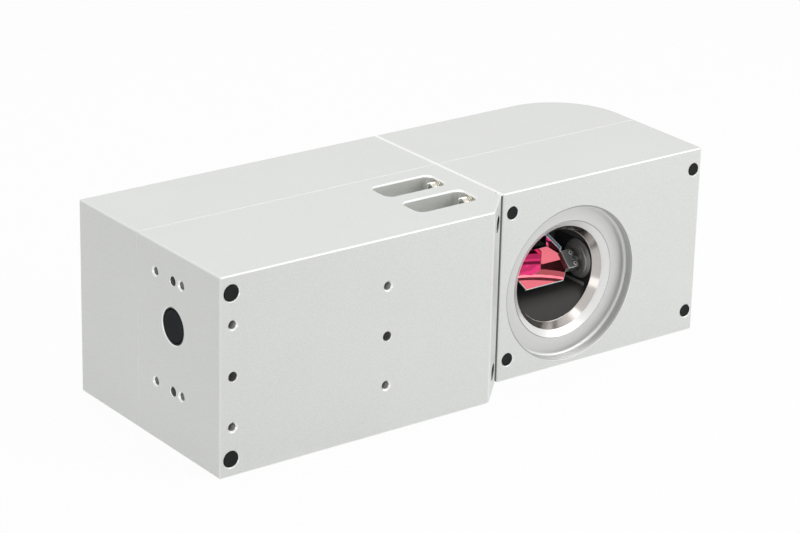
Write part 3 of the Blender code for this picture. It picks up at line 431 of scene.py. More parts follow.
# The foot strip's light grey is a painted highlight line.
foot_strip_painted_highlight = black_anodised("Mount's foot strip, painted highlight", (0.40, 0.38, 0.365), 0.36)
# The black motor case is lightened to mid grey as painted light.
motor_painted_light = black_anodised("Motor case, painted light", (0.25, 0.246, 0.24), 0.34)
# The clamp's grey is lightened as painted light for the dim chamber.
clamp_grey_painted_light = black_anodised("Mirror clamp", (0.145, 0.155, 0.151), 0.34)
# The clamp edge's pale grey is a painted highlight.
clamp_painted_highlight = black_anodised("Mirror clamp edge, painted highlight", (0.60, 0.61, 0.60), 0.36)
print("Made thirteen small finishes")

# %% Mirrors and glass
def coated_mirror(name, colour):
    sheet, sockets, material = make_finish(name, colour, 0.02, 1.0)
    cloud = sheet.noise(60, detail=1)
    sheet.put(sockets["Base Color"], sheet.mix(cloud, *shades(colour, 0.04)))
    return material


def past_tip(sheet):
    """0 at the far end of the second mirror, and 1 along the rest of both."""
    tip = world_of(aperture_x - 20, 0, 0).x
    return sheet.parts(sheet.place())[0].ramp(tip - MM, tip + MM)


def bevel_painted_glint():
    """Painted glints on the ground bevel of a coated mirror: cream along its end, pale cyan along its side.
    """
    sheet, sockets, material = make_finish("Mirror bevel, painted glints", (0.6, 0.8, 0.8), 0.25, 0.3)
    bands = sheet.noise(75, detail=1)
    pale = sheet.mix(bands.ramp(0.4, 0.6), (0.55, 0.86, 0.80, 1), (0.88, 0.88, 0.72, 1))
    sheet.put(sockets["Base Color"], sheet.mix(past_tip(sheet), (0.95, 0.72, 0.30, 1), pale))
    return material


def ground_glass():
    """The ground side of the glass is slate blue, and a stronger blue at the second mirror's far end."""
    sheet, sockets, material = make_finish("Ground mirror edge", (0.06, 0.07, 0.12), 0.35, 0.2)
    grain = sheet.noise(1200, detail=2)
    slate = sheet.mix(grain, (0.045, 0.05, 0.090, 1), (0.085, 0.09, 0.16, 1))
    sheet.put(sockets["Base Color"], sheet.mix(past_tip(sheet), (0.03, 0.17, 0.50, 1), slate))
    return material


def window_coat():
    sheet, sockets, material = make_finish("Dark coated window", (0.006, 0.007, 0.008), 0.12, 0.0)
    sheet.put(sockets["Specular IOR Level"], 0.03)
    cloud = sheet.noise(90, detail=1)
    sheet.put(sockets["Base Color"], sheet.mix(cloud, (0.012, 0.014, 0.016, 1), (0.018, 0.021, 0.025, 1)))
    return material


def lens_glass():
    sheet, sockets, material = make_finish("Lens glass", (0.86, 0.93, 0.92), 0.03, 0.0)
    sheet.put(sockets["Transmission Weight"], 0.9)
    sheet.put(sockets["IOR"], 1.46)
    haze = sheet.noise(40, detail=1)
    sheet.put(sockets["Roughness"], haze * 0.03 + 0.01)
    return material


coral_coat = coated_mirror("Coral mirror coating", (0.84, 0.185, 0.235))
violet_coat = coated_mirror("Violet mirror coating", (1.0, 0.27, 0.86))
painted_glint_bevel, mirror_side = bevel_painted_glint(), ground_glass()
dark_window, clear_glass = window_coat(), lens_glass()
print("Made", coral_coat.name, violet_coat.name, "and four glass finishes")

# %% Coil, boards and contacts
def wound_copper():
    sheet, sockets, material = make_finish("Wound copper", (0.72, 0.30, 0.12), 0.35, 1.0)
    along = sheet.parts(sheet.place())[0]
    turns = sheet.node("ShaderNodeMath", {"operation": "PINGPONG"}, {0: along * (1 / (0.4 * MM)), 1: 0.5}) * 2
    sheet.put(sockets["Base Color"], sheet.mix(turns, (0.28, 0.09, 0.03, 1), (0.80, 0.36, 0.15, 1)))
    raise_skin(sheet, sockets, turns, 0.6, 0.00015)
    return material


def circuit_board():
    sheet, sockets, material = make_finish("Circuit board", (0.02, 0.14, 0.06), 0.35, 0.0)
    across, _, up = sheet.parts(sheet.place())
    flat = sheet.node("ShaderNodeCombineXYZ", {}, {0: across, 1: up})
    settings = {"offset": 0.37, "offset_frequency": 3, "squash": 0.6, "squash_frequency": 2}
    sizes = {"Vector": flat, "Scale": 60, "Mortar Size": 0.022, "Mortar Smooth": 0.1, "Brick Width": 0.42,
             "Row Height": 0.13}
    tracks = sheet.node("ShaderNodeTexBrick", settings, sizes, output=1)
    sheet.put(sockets["Base Color"], sheet.mix(tracks, (0.012, 0.10, 0.045, 1), (0.05, 0.24, 0.10, 1)))
    raise_skin(sheet, sockets, tracks, 0.3, 0.00006)
    return material


copper_wire, board_green = wound_copper(), circuit_board()
gold_pin = plated("Gilt contact", (0.90, 0.68, 0.30), 0.2, (0.82, 0.58, 0.24))
print("Made", copper_wire.name, board_green.name, gold_pin.name)

# %% [markdown]
# ## Tools for solid shapes
# Three builders cover a milled part. `loft` joins outlines with the same number of points, which gives
# prisms, boxes and pockets with sloping rims. `lathe` spins a profile, which gives bores, screws and
# lenses; `rod` is its plainest use. `carve` takes shapes away from a solid, or joins them to it. A band
# can carry a second finish, so a hole's bright mouth and its dark wall are one cutter.

# %% Loft and lathe
def loft(sections, axis, rim=0):
    """sections are (outline, place along the axis). The last rim bands get the second finish."""
    which = "XYZ".index(axis)
    shape = bmesh.new()
    rings = []
    for outline, along in sections:
        ring = []
        for pair in outline:
            point = list(pair)
            point.insert(which, along)
            ring.append(shape.verts.new(point))
        rings.append(ring)
    bands = list(zip(rings, rings[1:]))
    for number, (one, other) in enumerate(bands):
        for i in range(len(one)):
            face = shape.faces.new((one[i - 1], one[i], other[i], other[i - 1]))
            face.material_index = int(number >= len(bands) - rim)
    shape.faces.new(rings[0])
    shape.faces.new(rings[-1])
    bmesh.ops.recalc_face_normals(shape, faces=shape.faces)
    return shape


def prism(outline, axis, start, end):
    return loft([(outline, start), (outline, end)], axis)


def block(low, high):
    outline = [(low[0], low[1]), (high[0], low[1]), (high[0], high[1]), (low[0], high[1])]
    return prism(outline, "Z", low[2], high[2])


def lathe(profile, axis, centre, steps, closed=False, rim=0, marks=None):
    """profile holds (place along the axis, radius). The first rim bands get the second finish, or marks
    gives the finish of the band that ends at each point."""
    which = "XYZ".index(axis)
    shape = bmesh.new()
    rings = []
    for along, radius in profile:
        ring = []
        for i in range(steps if radius else 1):
            turn = 2 * math.pi * i / steps
            point = [centre[0] + radius * math.cos(turn), centre[1] + radius * math.sin(turn)]
            point.insert(which, along)
            ring.append(shape.verts.new(point))
        rings.append(ring)
    bands = list(zip(rings, rings[1:])) + ([(rings[-1], rings[0])] if closed else [])
    for number, (one, other) in enumerate(bands):
        for i in range(steps):
            corners = [one[i - 1 if len(one) > 1 else 0], one[i % len(one)],
                       other[i % len(other)], other[i - 1 if len(other) > 1 else 0]]
            face = shape.faces.new(list(dict.fromkeys(corners)))
            face.material_index = marks[number + 1] if marks else int(number < rim)
    bmesh.ops.recalc_face_normals(shape, faces=shape.faces)
    return shape


def rod(start, end, radius, axis, centre, steps):
    """A plain round bar along an axis. As a cutter it is a drill."""
    return lathe([(start, 0), (start, radius), (end, radius), (end, 0)], axis, centre, steps)


print("Loft, lathe and rod are ready")

# %% Outlines
def arc(centre, radius, start, end, steps=8):
    turns = [math.radians(start + (end - start) * i / steps) for i in range(steps + 1)]
    return [(centre[0] + radius * math.cos(turn), centre[1] + radius * math.sin(turn)) for turn in turns]


def rounded(low, high, radius, steps=6):
    left, right, bottom, top = low[0] + radius, high[0] - radius, low[1] + radius, high[1] - radius
    corners = ((right, top, 0), (left, top, 90), (left, bottom, 180), (right, bottom, 270))
    return [point for x, y, start in corners for point in arc((x, y), radius, start, start + 90, steps)]


def circle(centre, radius, steps):
    turns = [2 * math.pi * i / steps for i in range(steps)]
    return [(centre[0] + radius * math.cos(turn), centre[1] + radius * math.sin(turn)) for turn in turns]


print("A pocket outline has", len(rounded((0, 0), (45, 20), 5)), "points")

# %% [markdown]
# Cutting leaves the large flats as many-sided faces. Smooth shading with sharp edges kept, and normals
# weighted by face area, keeps those flats flat while the rounded edges shine.

# %% Solids, cuts and edges
def solid(name, shape, *finishes):
    mesh = bpy.data.meshes.new(name)
    shape.to_mesh(mesh)
    shape.free()
    for finish in finishes:
        mesh.materials.append(finish)
    made = bpy.data.objects.new(name, mesh)
    bpy.context.scene.collection.objects.link(made)
    return made


def settle(piece):
    """Applies a piece's modifiers, and removes the cutters they used."""
    bpy.context.view_layer.update()
    shown = piece.evaluated_get(bpy.context.evaluated_depsgraph_get())
    mesh = bpy.data.meshes.new_from_object(shown)
    cutters = [step.object for step in piece.modifiers if step.type == "BOOLEAN"]
    piece.modifiers.clear()
    old, piece.data = piece.data, mesh
    mesh.name = piece.name
    bpy.data.meshes.remove(old)
    for cutter in cutters:
        bpy.data.objects.remove(cutter)


def carve(piece, shapes, *finishes, operation="DIFFERENCE"):
    for shape in shapes:
        tool = solid("cutter", shape, *finishes)
        step = piece.modifiers.new("cut", "BOOLEAN")
        step.operation = operation
        step.solver = "EXACT"
        step.material_mode = "TRANSFER"
        step.object = tool
    settle(piece)


def break_edges(piece, width, share=None, segments=3):
    """Rounds every sharp edge. share(edge) gives the part of the width that an edge gets."""
    shape = bmesh.new()
    shape.from_mesh(piece.data)
    weight = shape.edges.layers.float.new("bevel_weight_edge")
    for edge in shape.edges:
        sharp = len(edge.link_faces) == 2 and edge.calc_face_angle() > math.radians(30)
        edge[weight] = (share(edge) if share else 1.0) if sharp else 0.0
    shape.to_mesh(piece.data)
    shape.free()
    step = piece.modifiers.new("broken edges", "BEVEL")
    step.limit_method = "WEIGHT"
    step.width = width
    step.segments = segments
    if len(piece.data.materials) > 1:
        step.material = 1
    settle(piece)


def dress(piece, body, slot, *nodes):
    """Puts a finished shape in its place, shades it, hangs it on the body it rides on, and hides the nodes it
    replaces.
    """
    piece.data.transform(to_world)
    piece.data.shade_smooth()
    piece.data.set_sharp_from_angle(angle=math.radians(32))
    step = piece.modifiers.new("flat faces stay flat", "WEIGHTED_NORMAL")
    step.keep_sharp = True
    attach(piece, body)
    if nodes:
        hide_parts(*nodes)
    return piece


print("Solids can be cut, rounded and dressed")

# %% [markdown]
# ## Holes
# Each hole on the case is one of four kinds. A tapped hole has a bright countersunk mouth and a thread,
# drawn as rings one pitch apart, which at this size looks the same as a true helix. A dowel hole is
# reamed smooth. A counterbore hides a screw head under a plug. A pocket makes room for a hex key.

# %% Hole profiles
thread_pitch = 1.0
tapped_radius, tapped_mouth = 2.5, 3.5
dowel_radius = 3.0
counterbore_rim = 0.45


def sunk(profile, axis, centre, face, inwards, steps, rim=0, marks=None):
    """A lathed cutter whose profile holds (depth below the face, radius)."""
    placed = [(face + inwards * depth, radius) for depth, radius in profile]
    return lathe(placed, axis, centre, steps, rim=rim, marks=marks)


def thread_rings(start, end, crest, root):
    """Depths and radii of thread ridges, one pitch apart."""
    rings = []
    for i in range(int((end - start) / thread_pitch)):
        depth = start + i * thread_pitch
        rings += [(depth, crest), (depth + thread_pitch / 2, root)]
    return rings + [(end, crest)]


# Its thread is painted dark grey, which is painted shade inside the hole.
def tapped_hole(axis, centre, face, inwards):
    sink = tapped_mouth - tapped_radius
    profile = [(-1, 0), (-1, tapped_mouth + 0.2), (0, tapped_mouth), (sink, tapped_radius)]
    profile += thread_rings(sink + 0.2, 11, tapped_radius, 3.0) + [(14, tapped_radius), (15.4, 0)]
    return sunk(profile, axis, centre, face, inwards, 40, rim=3)


# Its wall is painted grey, which is painted shade inside the hole.
def dowel_hole(axis, centre, face, inwards):
    profile = [(-1, 0), (-1, dowel_radius + 0.3), (0, dowel_radius + 0.3), (0.35, dowel_radius),
               (9, dowel_radius), (9, 0)]
    return sunk(profile, axis, centre, face, inwards, 40, rim=3)


def counterbore(centre, face, start, radius, seat, shank, end):
    """A hole along Y for a cap screw under a plug. start is where the cutter begins, in front of the face."""
    wide = radius + counterbore_rim
    profile = [(start, 0), (start, wide), (face, wide), (face + counterbore_rim, radius), (seat, radius),
               (seat, shank), (end, shank), (end, 0)]
    return lathe(profile, "Y", centre, 48, rim=3)


print("A tapped hole opens from", 2 * tapped_radius, "to", 2 * tapped_mouth, "mm")

# %% [markdown]
# ## The focus block's housing
# The left block starts as a prism with a large chamfer beside the joint. Its edges are rounded by a
# millimetre, and by a quarter of that at the seam, where the cover meets it. Where the chamfer ends, a
# shallow groove down the joint face, painted dark as painted shade, sets the two blocks apart. The beam's
# entry has a bright rim round a dark window.

# %% Focus housing
joint_chamfer = 21.8
edge_radius, seam_radius, joint_radius, joint_edge = 1.0, 0.25, 0.3, 2.2
groove_width, groove_ahead, groove_behind = 1.3, 3, 5
mount_columns, mount_rows = (9, 119), (height / 2 - 32, height / 2 + 32)
entry_radius, entry_bore, passage_radius, barrel_bore = 11.5, 10.2, 15, 20.3
entry_rows = (beam_z - 41.5, beam_z + 28.5)
entry_screws = [(y, z) for y in (beam_y - 9, beam_y + 19) for z in entry_rows]
entry_dowels = [(beam_y, z) for z in entry_rows]
wall_end, wall_joint, wall_front, wall_side = 16, 20, 12, 20


def edge_share(*planes):
    """Edges on one of these planes, given as (axis letter, place, radius), have that radius."""
    def share(edge):
        for letter, place, radius in planes:
            which = "XYZ".index(letter)
            if all(abs(vert.co[which] - place) < 0.01 for vert in edge.verts):
                return radius / edge_radius
        return 1.0
    return share


focus_outline = [(0, 0), (joint_x - joint_chamfer, 0), (joint_x, joint_chamfer), (joint_x, seam_y),
                 (0, seam_y)]
focus_case = solid("focus_case", prism(focus_outline, "Z", 0, height), anodised, edge_painted_highlight)
break_edges(focus_case, edge_radius, edge_share(("Y", seam_y, seam_radius), ("X", joint_x, joint_radius)))
# The groove down the joint face is painted dark as painted shade.
joint_groove = block((joint_x - groove_width, joint_chamfer - groove_ahead, -1),
                     (joint_x + 1, joint_chamfer + groove_behind, height + 1))
carve(focus_case, [joint_groove], joint_painted_shade)
focus_bay = block((wall_end, wall_front, wall_side), (joint_x - wall_joint, seam_y + 1, height - wall_side))
carve(focus_case, [focus_bay], anodised)
print("The focus case has", len(focus_case.data.polygons), "faces")

# %% Its entry, mounting holes and counterbores
window_seat = window_high.x + 0.25
entry_profile = [(-1, 0), (-1, entry_radius + 0.6), (0, entry_radius + 0.6), (0.5, entry_radius),
                 (window_seat, entry_radius), (window_seat, entry_bore), (wall_end + 1, entry_bore),
                 (wall_end + 1, 0)]
exit_profile = [(joint_x + 1, 0), (joint_x + 1, passage_radius), (joint_x - 12, passage_radius),
                (joint_x - 12, barrel_bore), (joint_x - wall_joint - 1, barrel_bore),
                (joint_x - wall_joint - 1, 0)]
carve(focus_case, [sunk(entry_profile, "X", (beam_y, beam_z), 0, 1, 96, rim=3),
                   lathe(exit_profile, "X", (beam_y, beam_z), 64)], turned_entry, bright_edge)
carve(focus_case, [tapped_hole("Y", (x, z), 0, 1) for x in mount_columns for z in mount_rows], thread_painted_shade,
      bright_edge)
carve(focus_case, [tapped_hole("X", place, 0, 1) for place in entry_screws], thread_painted_shade, bright_edge)
carve(focus_case, [dowel_hole("Y", (x, height / 2), 0, 1) for x in mount_columns]
      + [dowel_hole("X", place, 0, 1) for place in entry_dowels], reamed_hole_painted_shade, bright_edge)


def centre_of(node, letters):
    low, high = drawn(node)
    middle = (low + high) / 2
    return tuple(middle["XYZ".index(letter)] for letter in letters)


focus_corners = [centre_of(f"focus_plug_{n}", "XZ") + (drawn(f"focus_plug_{n}")[0].y,) for n in (1, 2, 3, 4)]
focus_seat, focus_bore, focus_shank = 8.25, 5.25, 2.75
for x, z, plug_face in focus_corners:
    # The two at the right open into the chamfer: their cutters start further out and leave no mouth.
    face = 0 if x < joint_x / 2 else -5
    hole = counterbore((x, z), face, face - 1, focus_bore, plug_face + focus_seat, focus_shank, seam_y + 1)
    carve(focus_case, [hole], turned_entry, bright_edge)
holes_cut = len(mount_columns) * 3 + len(entry_screws) + len(entry_dowels) + len(focus_corners)
print("Cut", holes_cut, "holes round the focus case")

# %% [markdown]
# The key pockets are what catches the light on top: a milled slot with a wide bright chamfer and a small
# radius at its floor. The cutter is a stack of rounded rectangles, none smaller than the one before it.

# %% Key pockets and coupling holes
pocket_length, pocket_width, pocket_depth, pocket_corner = 45, 20, 17, 5
pocket_right = joint_x - 15.5
coupling_bore = 2.75
coupling_screws = [f"coupling_screw_{n}" for n in (1, 2, 3, 4)]
coupling_places = [centre_of(name, "YZ") for name in coupling_screws]


def pocket(y, face, out):
    """Cuts inwards from the face at height face. out is +1 for the top face and -1 for the underside."""
    def outline(grow):
        return rounded((pocket_right - pocket_length - grow, y - pocket_width / 2 - grow),
                       (pocket_right + grow, y + pocket_width / 2 + grow), pocket_corner + grow, 8)
    steps = [(-1.0, pocket_depth), (-0.3, pocket_depth - 0.3), (0, pocket_depth - 1.0),
             (0, 1.0), (1.0, 0), (1.0, -1)]
    return loft([(outline(grow), face - out * depth) for grow, depth in steps], "Z", rim=2)


carve(focus_case, [pocket(y, height if z > height / 2 else 0, 1 if z > height / 2 else -1)
                   for y, z in coupling_places], anodised, bright_edge)
carve(focus_case, [rod(pocket_right - 1, joint_x + 1, coupling_bore, "X", place, 24)
                   for place in coupling_places], satin_black)
dress(focus_case, "housing", "case", "focus_housing")
print("Cut", len(coupling_places), "pockets, each", pocket_depth, "mm deep")

# %% [markdown]
# ## The covers
# Each block is closed at the back by a deep cover with the same skin. The scan cover has one large rounded
# corner, so the head can turn in a tight frame. Both stop a hair short of the housings, and the two small
# rounded edges catch light as one fine line. The scan block's edges along the joint are milled off at 45
# degrees, and that bright chamfer is the light line across the top.

# %% Covers
seam_gap = 0.06
cover_corner = 49
hollow_rear = rear_y - 8


def corner_plan(left, right, front, rear, radius, steps):
    bend = arc((right - radius, rear - radius), radius, 0, 90, steps)
    return [(left, front), (right, front), *bend, (left, rear)]


cover_front = seam_y + seam_gap
focus_back = solid("focus_back", block((0, cover_front, 0), (joint_x, rear_y, height)), anodised, edge_painted_highlight)
back_share = edge_share(("Y", cover_front, seam_radius), ("X", joint_x, joint_radius))
break_edges(focus_back, edge_radius, back_share)
cover_bay = block((wall_end, cover_front - 1, wall_side),
                  (joint_x - wall_joint, hollow_rear, height - wall_side))
carve(focus_back, [cover_bay], anodised)
dress(focus_back, "housing", "case", "focus_cover")

scan_wall_joint, scan_wall_end, scan_wall_side = 16, 14, 12
scan_left = scan_x - 0.19
plan = corner_plan(scan_left, right_x, cover_front, rear_y, cover_corner, 36)
scan_back = solid("scan_back", prism(plan, "Z", 0, height), anodised, edge_painted_highlight)
break_edges(scan_back, edge_radius, edge_share(("Y", cover_front, seam_radius)))


def joint_edges(face, out):
    """A 45 degree cut along the left edge of the scan block's top or underside."""
    size = joint_edge + 1
    triangle = [(scan_left - 1, face + out), (scan_left - 1, face - out * size),
                (scan_left + size, face + out)]
    return prism(triangle, "Y", scan_front - 1, rear_y + 1)


carve(scan_back, [joint_edges(height, 1), joint_edges(0, -1)], joint_light)
hollow = corner_plan(scan_x + scan_wall_joint, right_x - scan_wall_end, cover_front - 1, hollow_rear,
                     cover_corner - scan_wall_end, 24)
carve(scan_back, [prism(hollow, "Z", scan_wall_side, height - scan_wall_side)], anodised)
print("The covers are", round(rear_y - cover_front, 1), "mm deep")

# %% [markdown]
# The back of the scan cover has two shallow recesses for the connectors. They aren't in the picture, so
# they are plain: a milled step with rounded corners, and a window for the shell.

# %% Connector recesses
connector_recess = 5
connectors = {name: centre_of(name, "XZ") for name in ("signal_connector", "power_connector")}
shell_widths = {"signal_connector": 39, "power_connector": 17}
shell_height = 9
post_offset, post_radius = 4, 2.7


def recess(name):
    x, z = connectors[name]
    half = shell_widths[name] / 2 + post_offset + post_radius + 4
    tall = shell_height / 2 + 6

    def outline(grow):
        return rounded((x - half - grow, z - tall - grow), (x + half + grow, z + tall + grow), 4 + grow, 6)
    steps = [(0, connector_recess), (0, 0.5), (0.5, 0), (0.5, -1)]
    return loft([(outline(grow), rear_y - depth) for grow, depth in steps], "Y", rim=2)


carve(scan_back, [recess(name) for name in connectors], anodised, bright_edge)
for name, (x, z) in connectors.items():
    half = shell_widths[name] / 2 + 0.3
    window = rounded((x - half, z - shell_height / 2 - 0.3), (x + half, z + shell_height / 2 + 0.3), 1.2, 4)
    carve(scan_back, [prism(window, "Y", hollow_rear - 1, rear_y)], anodised)
dress(scan_back, "housing", "case", "scan_cover")
print("Cut", len(connectors), "recesses in the back")

# %% [markdown]
# ## The scan block's housing and its aperture
# The right block's front carries the one piece of fine turning: a wide recess with a thread for a lens,
# a flat ledge that the lens seats on, then a stepped bore that narrows towards the mirrors. All of that is
# a single lathe profile, cut out of the block in one go. The recess wall, its thread and the ledge's lip are
# painted dark as painted shade, and the throat a darker warm tone as a painted reflection of the dark
# chamber.
# The left face and most of the small fillet beside it lie in the joint's shadow, and that shade is painted on
# them in the groove's dark colour.

# %% Scan housing
fillet = 3.0
bend = arc((scan_left + fillet, scan_front + fillet), fillet, 180, 270, 10)
scan_outline = bend + [(right_x, scan_front), (right_x, seam_y), (scan_left, seam_y)]
scan_case = solid("scan_case", prism(scan_outline, "Z", 0, height), anodised, edge_painted_highlight)
break_edges(scan_case, edge_radius, edge_share(("Y", seam_y, seam_radius)))
# Faces turned to the left, in the joint, get the painted shade.
scan_case.data.materials.append(joint_painted_shade)
for face in scan_case.data.polygons:
    if face.normal.x < -0.5 and abs(face.normal.z) < 0.1:
        face.material_index = 2
carve(scan_case, [joint_edges(height, 1), joint_edges(0, -1)], joint_light)
carve(scan_case, [block((scan_x + scan_wall_joint, scan_front + 12, scan_wall_side),
                        (right_x - scan_wall_end, seam_y + 1, height - scan_wall_side))], anodised)
aperture_centre = (aperture_x, aperture_z)
carve(scan_case, [prism(circle(aperture_centre, 41, 96), "Y", scan_front + 11, scan_front + 16)], anodised,
      operation="UNION")
print("The scan case has", len(scan_case.data.polygons), "faces")

# %% The aperture
thread_crest, thread_root = 50.5, 51.1
ledge_depth, ledge_bore = 7.2, 38.8
step_depth, step_bore = 11.0, 34.6
throat_depth, throat_bore = 16.0, 31.2
aperture_steps = 160

mouth = [(-1, 0), (-1, 51.6), (0, 51.6), (0.2, 51.4)]
ridges = [(0.6, thread_root)] + thread_rings(0.9, 4.9, thread_crest, thread_root)
undercut = [(5.2, 51.0), (5.7, 51.0)]
relief = [(6.3, 50.7), (6.8, 50.2), (7.1, 49.5)]
ledge = [(ledge_depth, 48.6), (ledge_depth + 0.5, ledge_bore + 0.5)]
lip = [(ledge_depth + 0.7, ledge_bore + 0.3), (ledge_depth + 0.4, ledge_bore)]
cone = [(ledge_depth + 0.5, ledge_bore - 0.2), (step_depth - 0.15, step_bore + 0.2), (step_depth, step_bore)]
throat = [(throat_depth - 0.25, throat_bore + 0.1), (throat_depth, throat_bore - 0.25),
          (throat_depth + 0.5, throat_bore - 0.25), (throat_depth + 0.5, 0)]
sections = ((mouth, 1), (ridges, 2), (undercut, 2), (relief, 0), (ledge, 0), (lip, 2), (cone, 3), (throat, 4))
aperture_profile = [point for points, _ in sections for point in points]
aperture_marks = [mark for points, mark in sections for _ in points]
aperture_cut = sunk(aperture_profile, "Y", aperture_centre, scan_front, 1, aperture_steps,
                    marks=aperture_marks)
carve(scan_case, [aperture_cut], turned_bore, bright_edge, recess_wall_painted_shade, turned_cone, throat_painted_reflection)
carve(scan_case, [rod(scan_left - 1, scan_x + 17, passage_radius, "X", (beam_y, beam_z), 64)], turned_entry)
scan_corners = [centre_of(f"scan_plug_{n}", "XZ") for n in (1, 2, 3, 4)]
scan_seat, scan_bore, scan_shank = scan_front + 7.05, 4.25, 2.25
carve(scan_case, [counterbore(place, scan_front, scan_front - 1, scan_bore, scan_seat, scan_shank, seam_y + 1)
                  for place in scan_corners], turned_entry, bright_edge)
coupling_end = 232.4
carve(scan_case, [rod(scan_left - 1, coupling_end, coupling_bore, "X", place, 24)
                  for place in coupling_places], satin_black)
dress(scan_case, "housing", "case", "scan_housing")
print("The aperture narrows from", 2 * thread_crest, "to", 2 * throat_bore, "mm")

# %% [markdown]
# ## Plugs, window and screws
# Moulded plugs close the screw holes. Each is a lathed cap with a soft edge and a faint dish. The screws
# in the pockets are socket heads with a knurled side, made from an outline whose radius steps in and out.

# %% Plugs
def plug(name, radius):
    low, high = drawn(name)
    centre = centre_of(name, "XZ")
    face = low.y
    profile = [(face + 0.22, 0), (face + 0.2, radius * 0.35), (face + 0.04, radius * 0.62),
               (face, radius - 0.5), (face + 0.1, radius - 0.18), (face + 0.4, radius), (high.y, radius),
               (high.y, 0)]
    made = solid(f"{name}_cap", lathe(profile, "Y", centre, 48), black_plug)
    return dress(made, "housing", "black_plug", name)


plugs = [plug(f"focus_plug_{n}", 4.95) for n in (1, 2, 3, 4)]
plugs += [plug(f"scan_plug_{n}", 3.95) for n in (1, 2, 3, 4)]
print("Made", len(plugs), "plugs")

# %% Window
window_radius = (window_high.y - window_low.y) / 2
window_face = drawn("entry_ring")[0].x + 0.3
window_profile = [(window_face, 0), (window_face, entry_bore - 0.4), (window_face + 0.3, entry_bore - 0.1),
                  (window_low.x, entry_bore - 0.1), (window_low.x, window_radius),
                  (window_high.x - 0.3, window_radius), (window_high.x, window_radius - 0.3),
                  (window_high.x, 0)]
window_glass = solid("window_glass", lathe(window_profile, "X", (beam_y, beam_z), 96), dark_window)
dress(window_glass, "housing", "dark_glass", "entry_window")
ring_low, ring_high = drawn("entry_ring")
ring_radius = (ring_high.y - ring_low.y) / 2
ring_profile = [(ring_low.x, ring_radius - 0.35), (ring_high.x, entry_bore + 0.1), (ring_high.x, ring_radius),
                (ring_low.x + 0.15, ring_radius), (ring_low.x, ring_radius - 0.15)]
window_ring = solid("window_ring", lathe(ring_profile, "X", (beam_y, beam_z), 96, closed=True), satin_black)
dress(window_ring, "housing", "black_metal", "entry_ring")
print("The window is", round(window_high.x - window_low.x, 1), "mm thick")

# %% Coupling screws
def knurled(centre, radius, teeth):
    points = []
    for i in range(teeth):
        for share, reach in ((0.0, radius), (0.3, radius), (0.5, radius - 0.25), (0.8, radius - 0.25)):
            turn = 2 * math.pi * (i + share) / teeth
            points.append((centre[0] + reach * math.cos(turn), centre[1] + reach * math.sin(turn)))
    return points


def cap_screw(name, node):
    """A socket head cap screw along X, its head towards the left."""
    low, high = drawn(node)
    centre = centre_of(node, "YZ")
    head_radius, face, wall = (high.z - low.z) / 2, low.x + 3.2, low.x + 9
    seat = face + 3.7
    teeth = 36
    head = solid(name, loft([(knurled(centre, head_radius - 0.5, teeth), face),
                             (knurled(centre, head_radius, teeth), face + 0.5),
                             (knurled(centre, head_radius, teeth), seat)], "X"), zinc_screw, ground_steel)
    neck, spring_washer, flat_washer = 3.2, 4.6, 5.2
    washers = [(seat - 0.5, 0), (seat - 0.5, neck), (seat + 0.15, neck), (seat + 0.15, spring_washer),
               (seat + 1.1, spring_washer), (seat + 1.1, neck), (seat + 1.3, neck), (seat + 1.3, flat_washer),
               (wall, flat_washer), (wall, 0)]
    shank = [(seat - 0.5, 0), (seat - 0.5, 2.5), (high.x - 0.5, 2.5), (high.x, 2.0), (high.x, 0)]
    socket = [(circle(centre, radius, 6), face + depth)
              for depth, radius in ((2.6, 2.75), (0.35, 2.75), (-0.05, 3.1), (-1, 3.1))]
    carve(head, [lathe(washers, "X", centre, 40)], yellow_zinc, operation="UNION")
    carve(head, [lathe(shank, "X", centre, 24)], zinc_screw, operation="UNION")
    carve(head, [loft(socket, "X")], ground_steel)
    return dress(head, "housing", "steel", node)


for node in coupling_screws:
    cap_screw(node.replace("screw", "bolt"), node)
print("Made", len(coupling_screws), "cap screws")

# %% [markdown]
# ## The mirrors and their motors
# Each mirror is a thin hexagon of coated glass with a ground bevel. Its tail is held in a slotted clamp by
# two small screws, and the clamp sits on the motor's shaft. Both are drawn flat, with x along the shaft and
# the coated face up, and a matrix turns them into place.

# %% Where the mirrors stand
slant = math.sqrt(0.5)
first_turn = Matrix(((0, slant, -slant), (1, 0, 0), (0, -slant, -slant))).to_4x4()
second_turn = Matrix(((1, 0, 0), (0, slant, -slant), (0, slant, slant))).to_4x4()
first_stand = Matrix.Translation((first_pivot.x, beam_y, first_pivot.z)) @ first_turn
second_stand = Matrix.Translation((aperture_x, second_pivot.y, second_pivot.z)) @ second_turn
glass_half = 1.0
first_glass = [(-10.5, 9), (-6.5, 14.4), (6, 14.4), (14, 6), (16.4, 6)]
second_glass = [(-22.9, 0.6), (-21.4, 5.1), (-18.7, 12.6), (11.6, 12.6), (18, 5.5), (20.4, 5.5)]


def mirror(name, half_outline, coat, stand, body, node):
    outline = half_outline + [(along, -across) for along, across in reversed(half_outline)]
    made = solid(name, prism(outline, "Z", -glass_half, glass_half), mirror_side, painted_glint_bevel, coat)
    # The bevel carries the painted glints.
    break_edges(made, 0.3, segments=1)
    for face in made.data.polygons:
        if face.normal.z > 0.99:
            face.material_index = 2
    made.data.transform(stand)
    return dress(made, body, "mirror", node)


mirror("first_mirror_glass", first_glass, violet_coat, first_stand, "first_scanner", "first_mirror")
mirror("second_mirror_glass", second_glass, coral_coat, second_stand, "second_scanner", "second_mirror")
print("The mirrors are", 2 * first_glass[1][1], "mm wide")

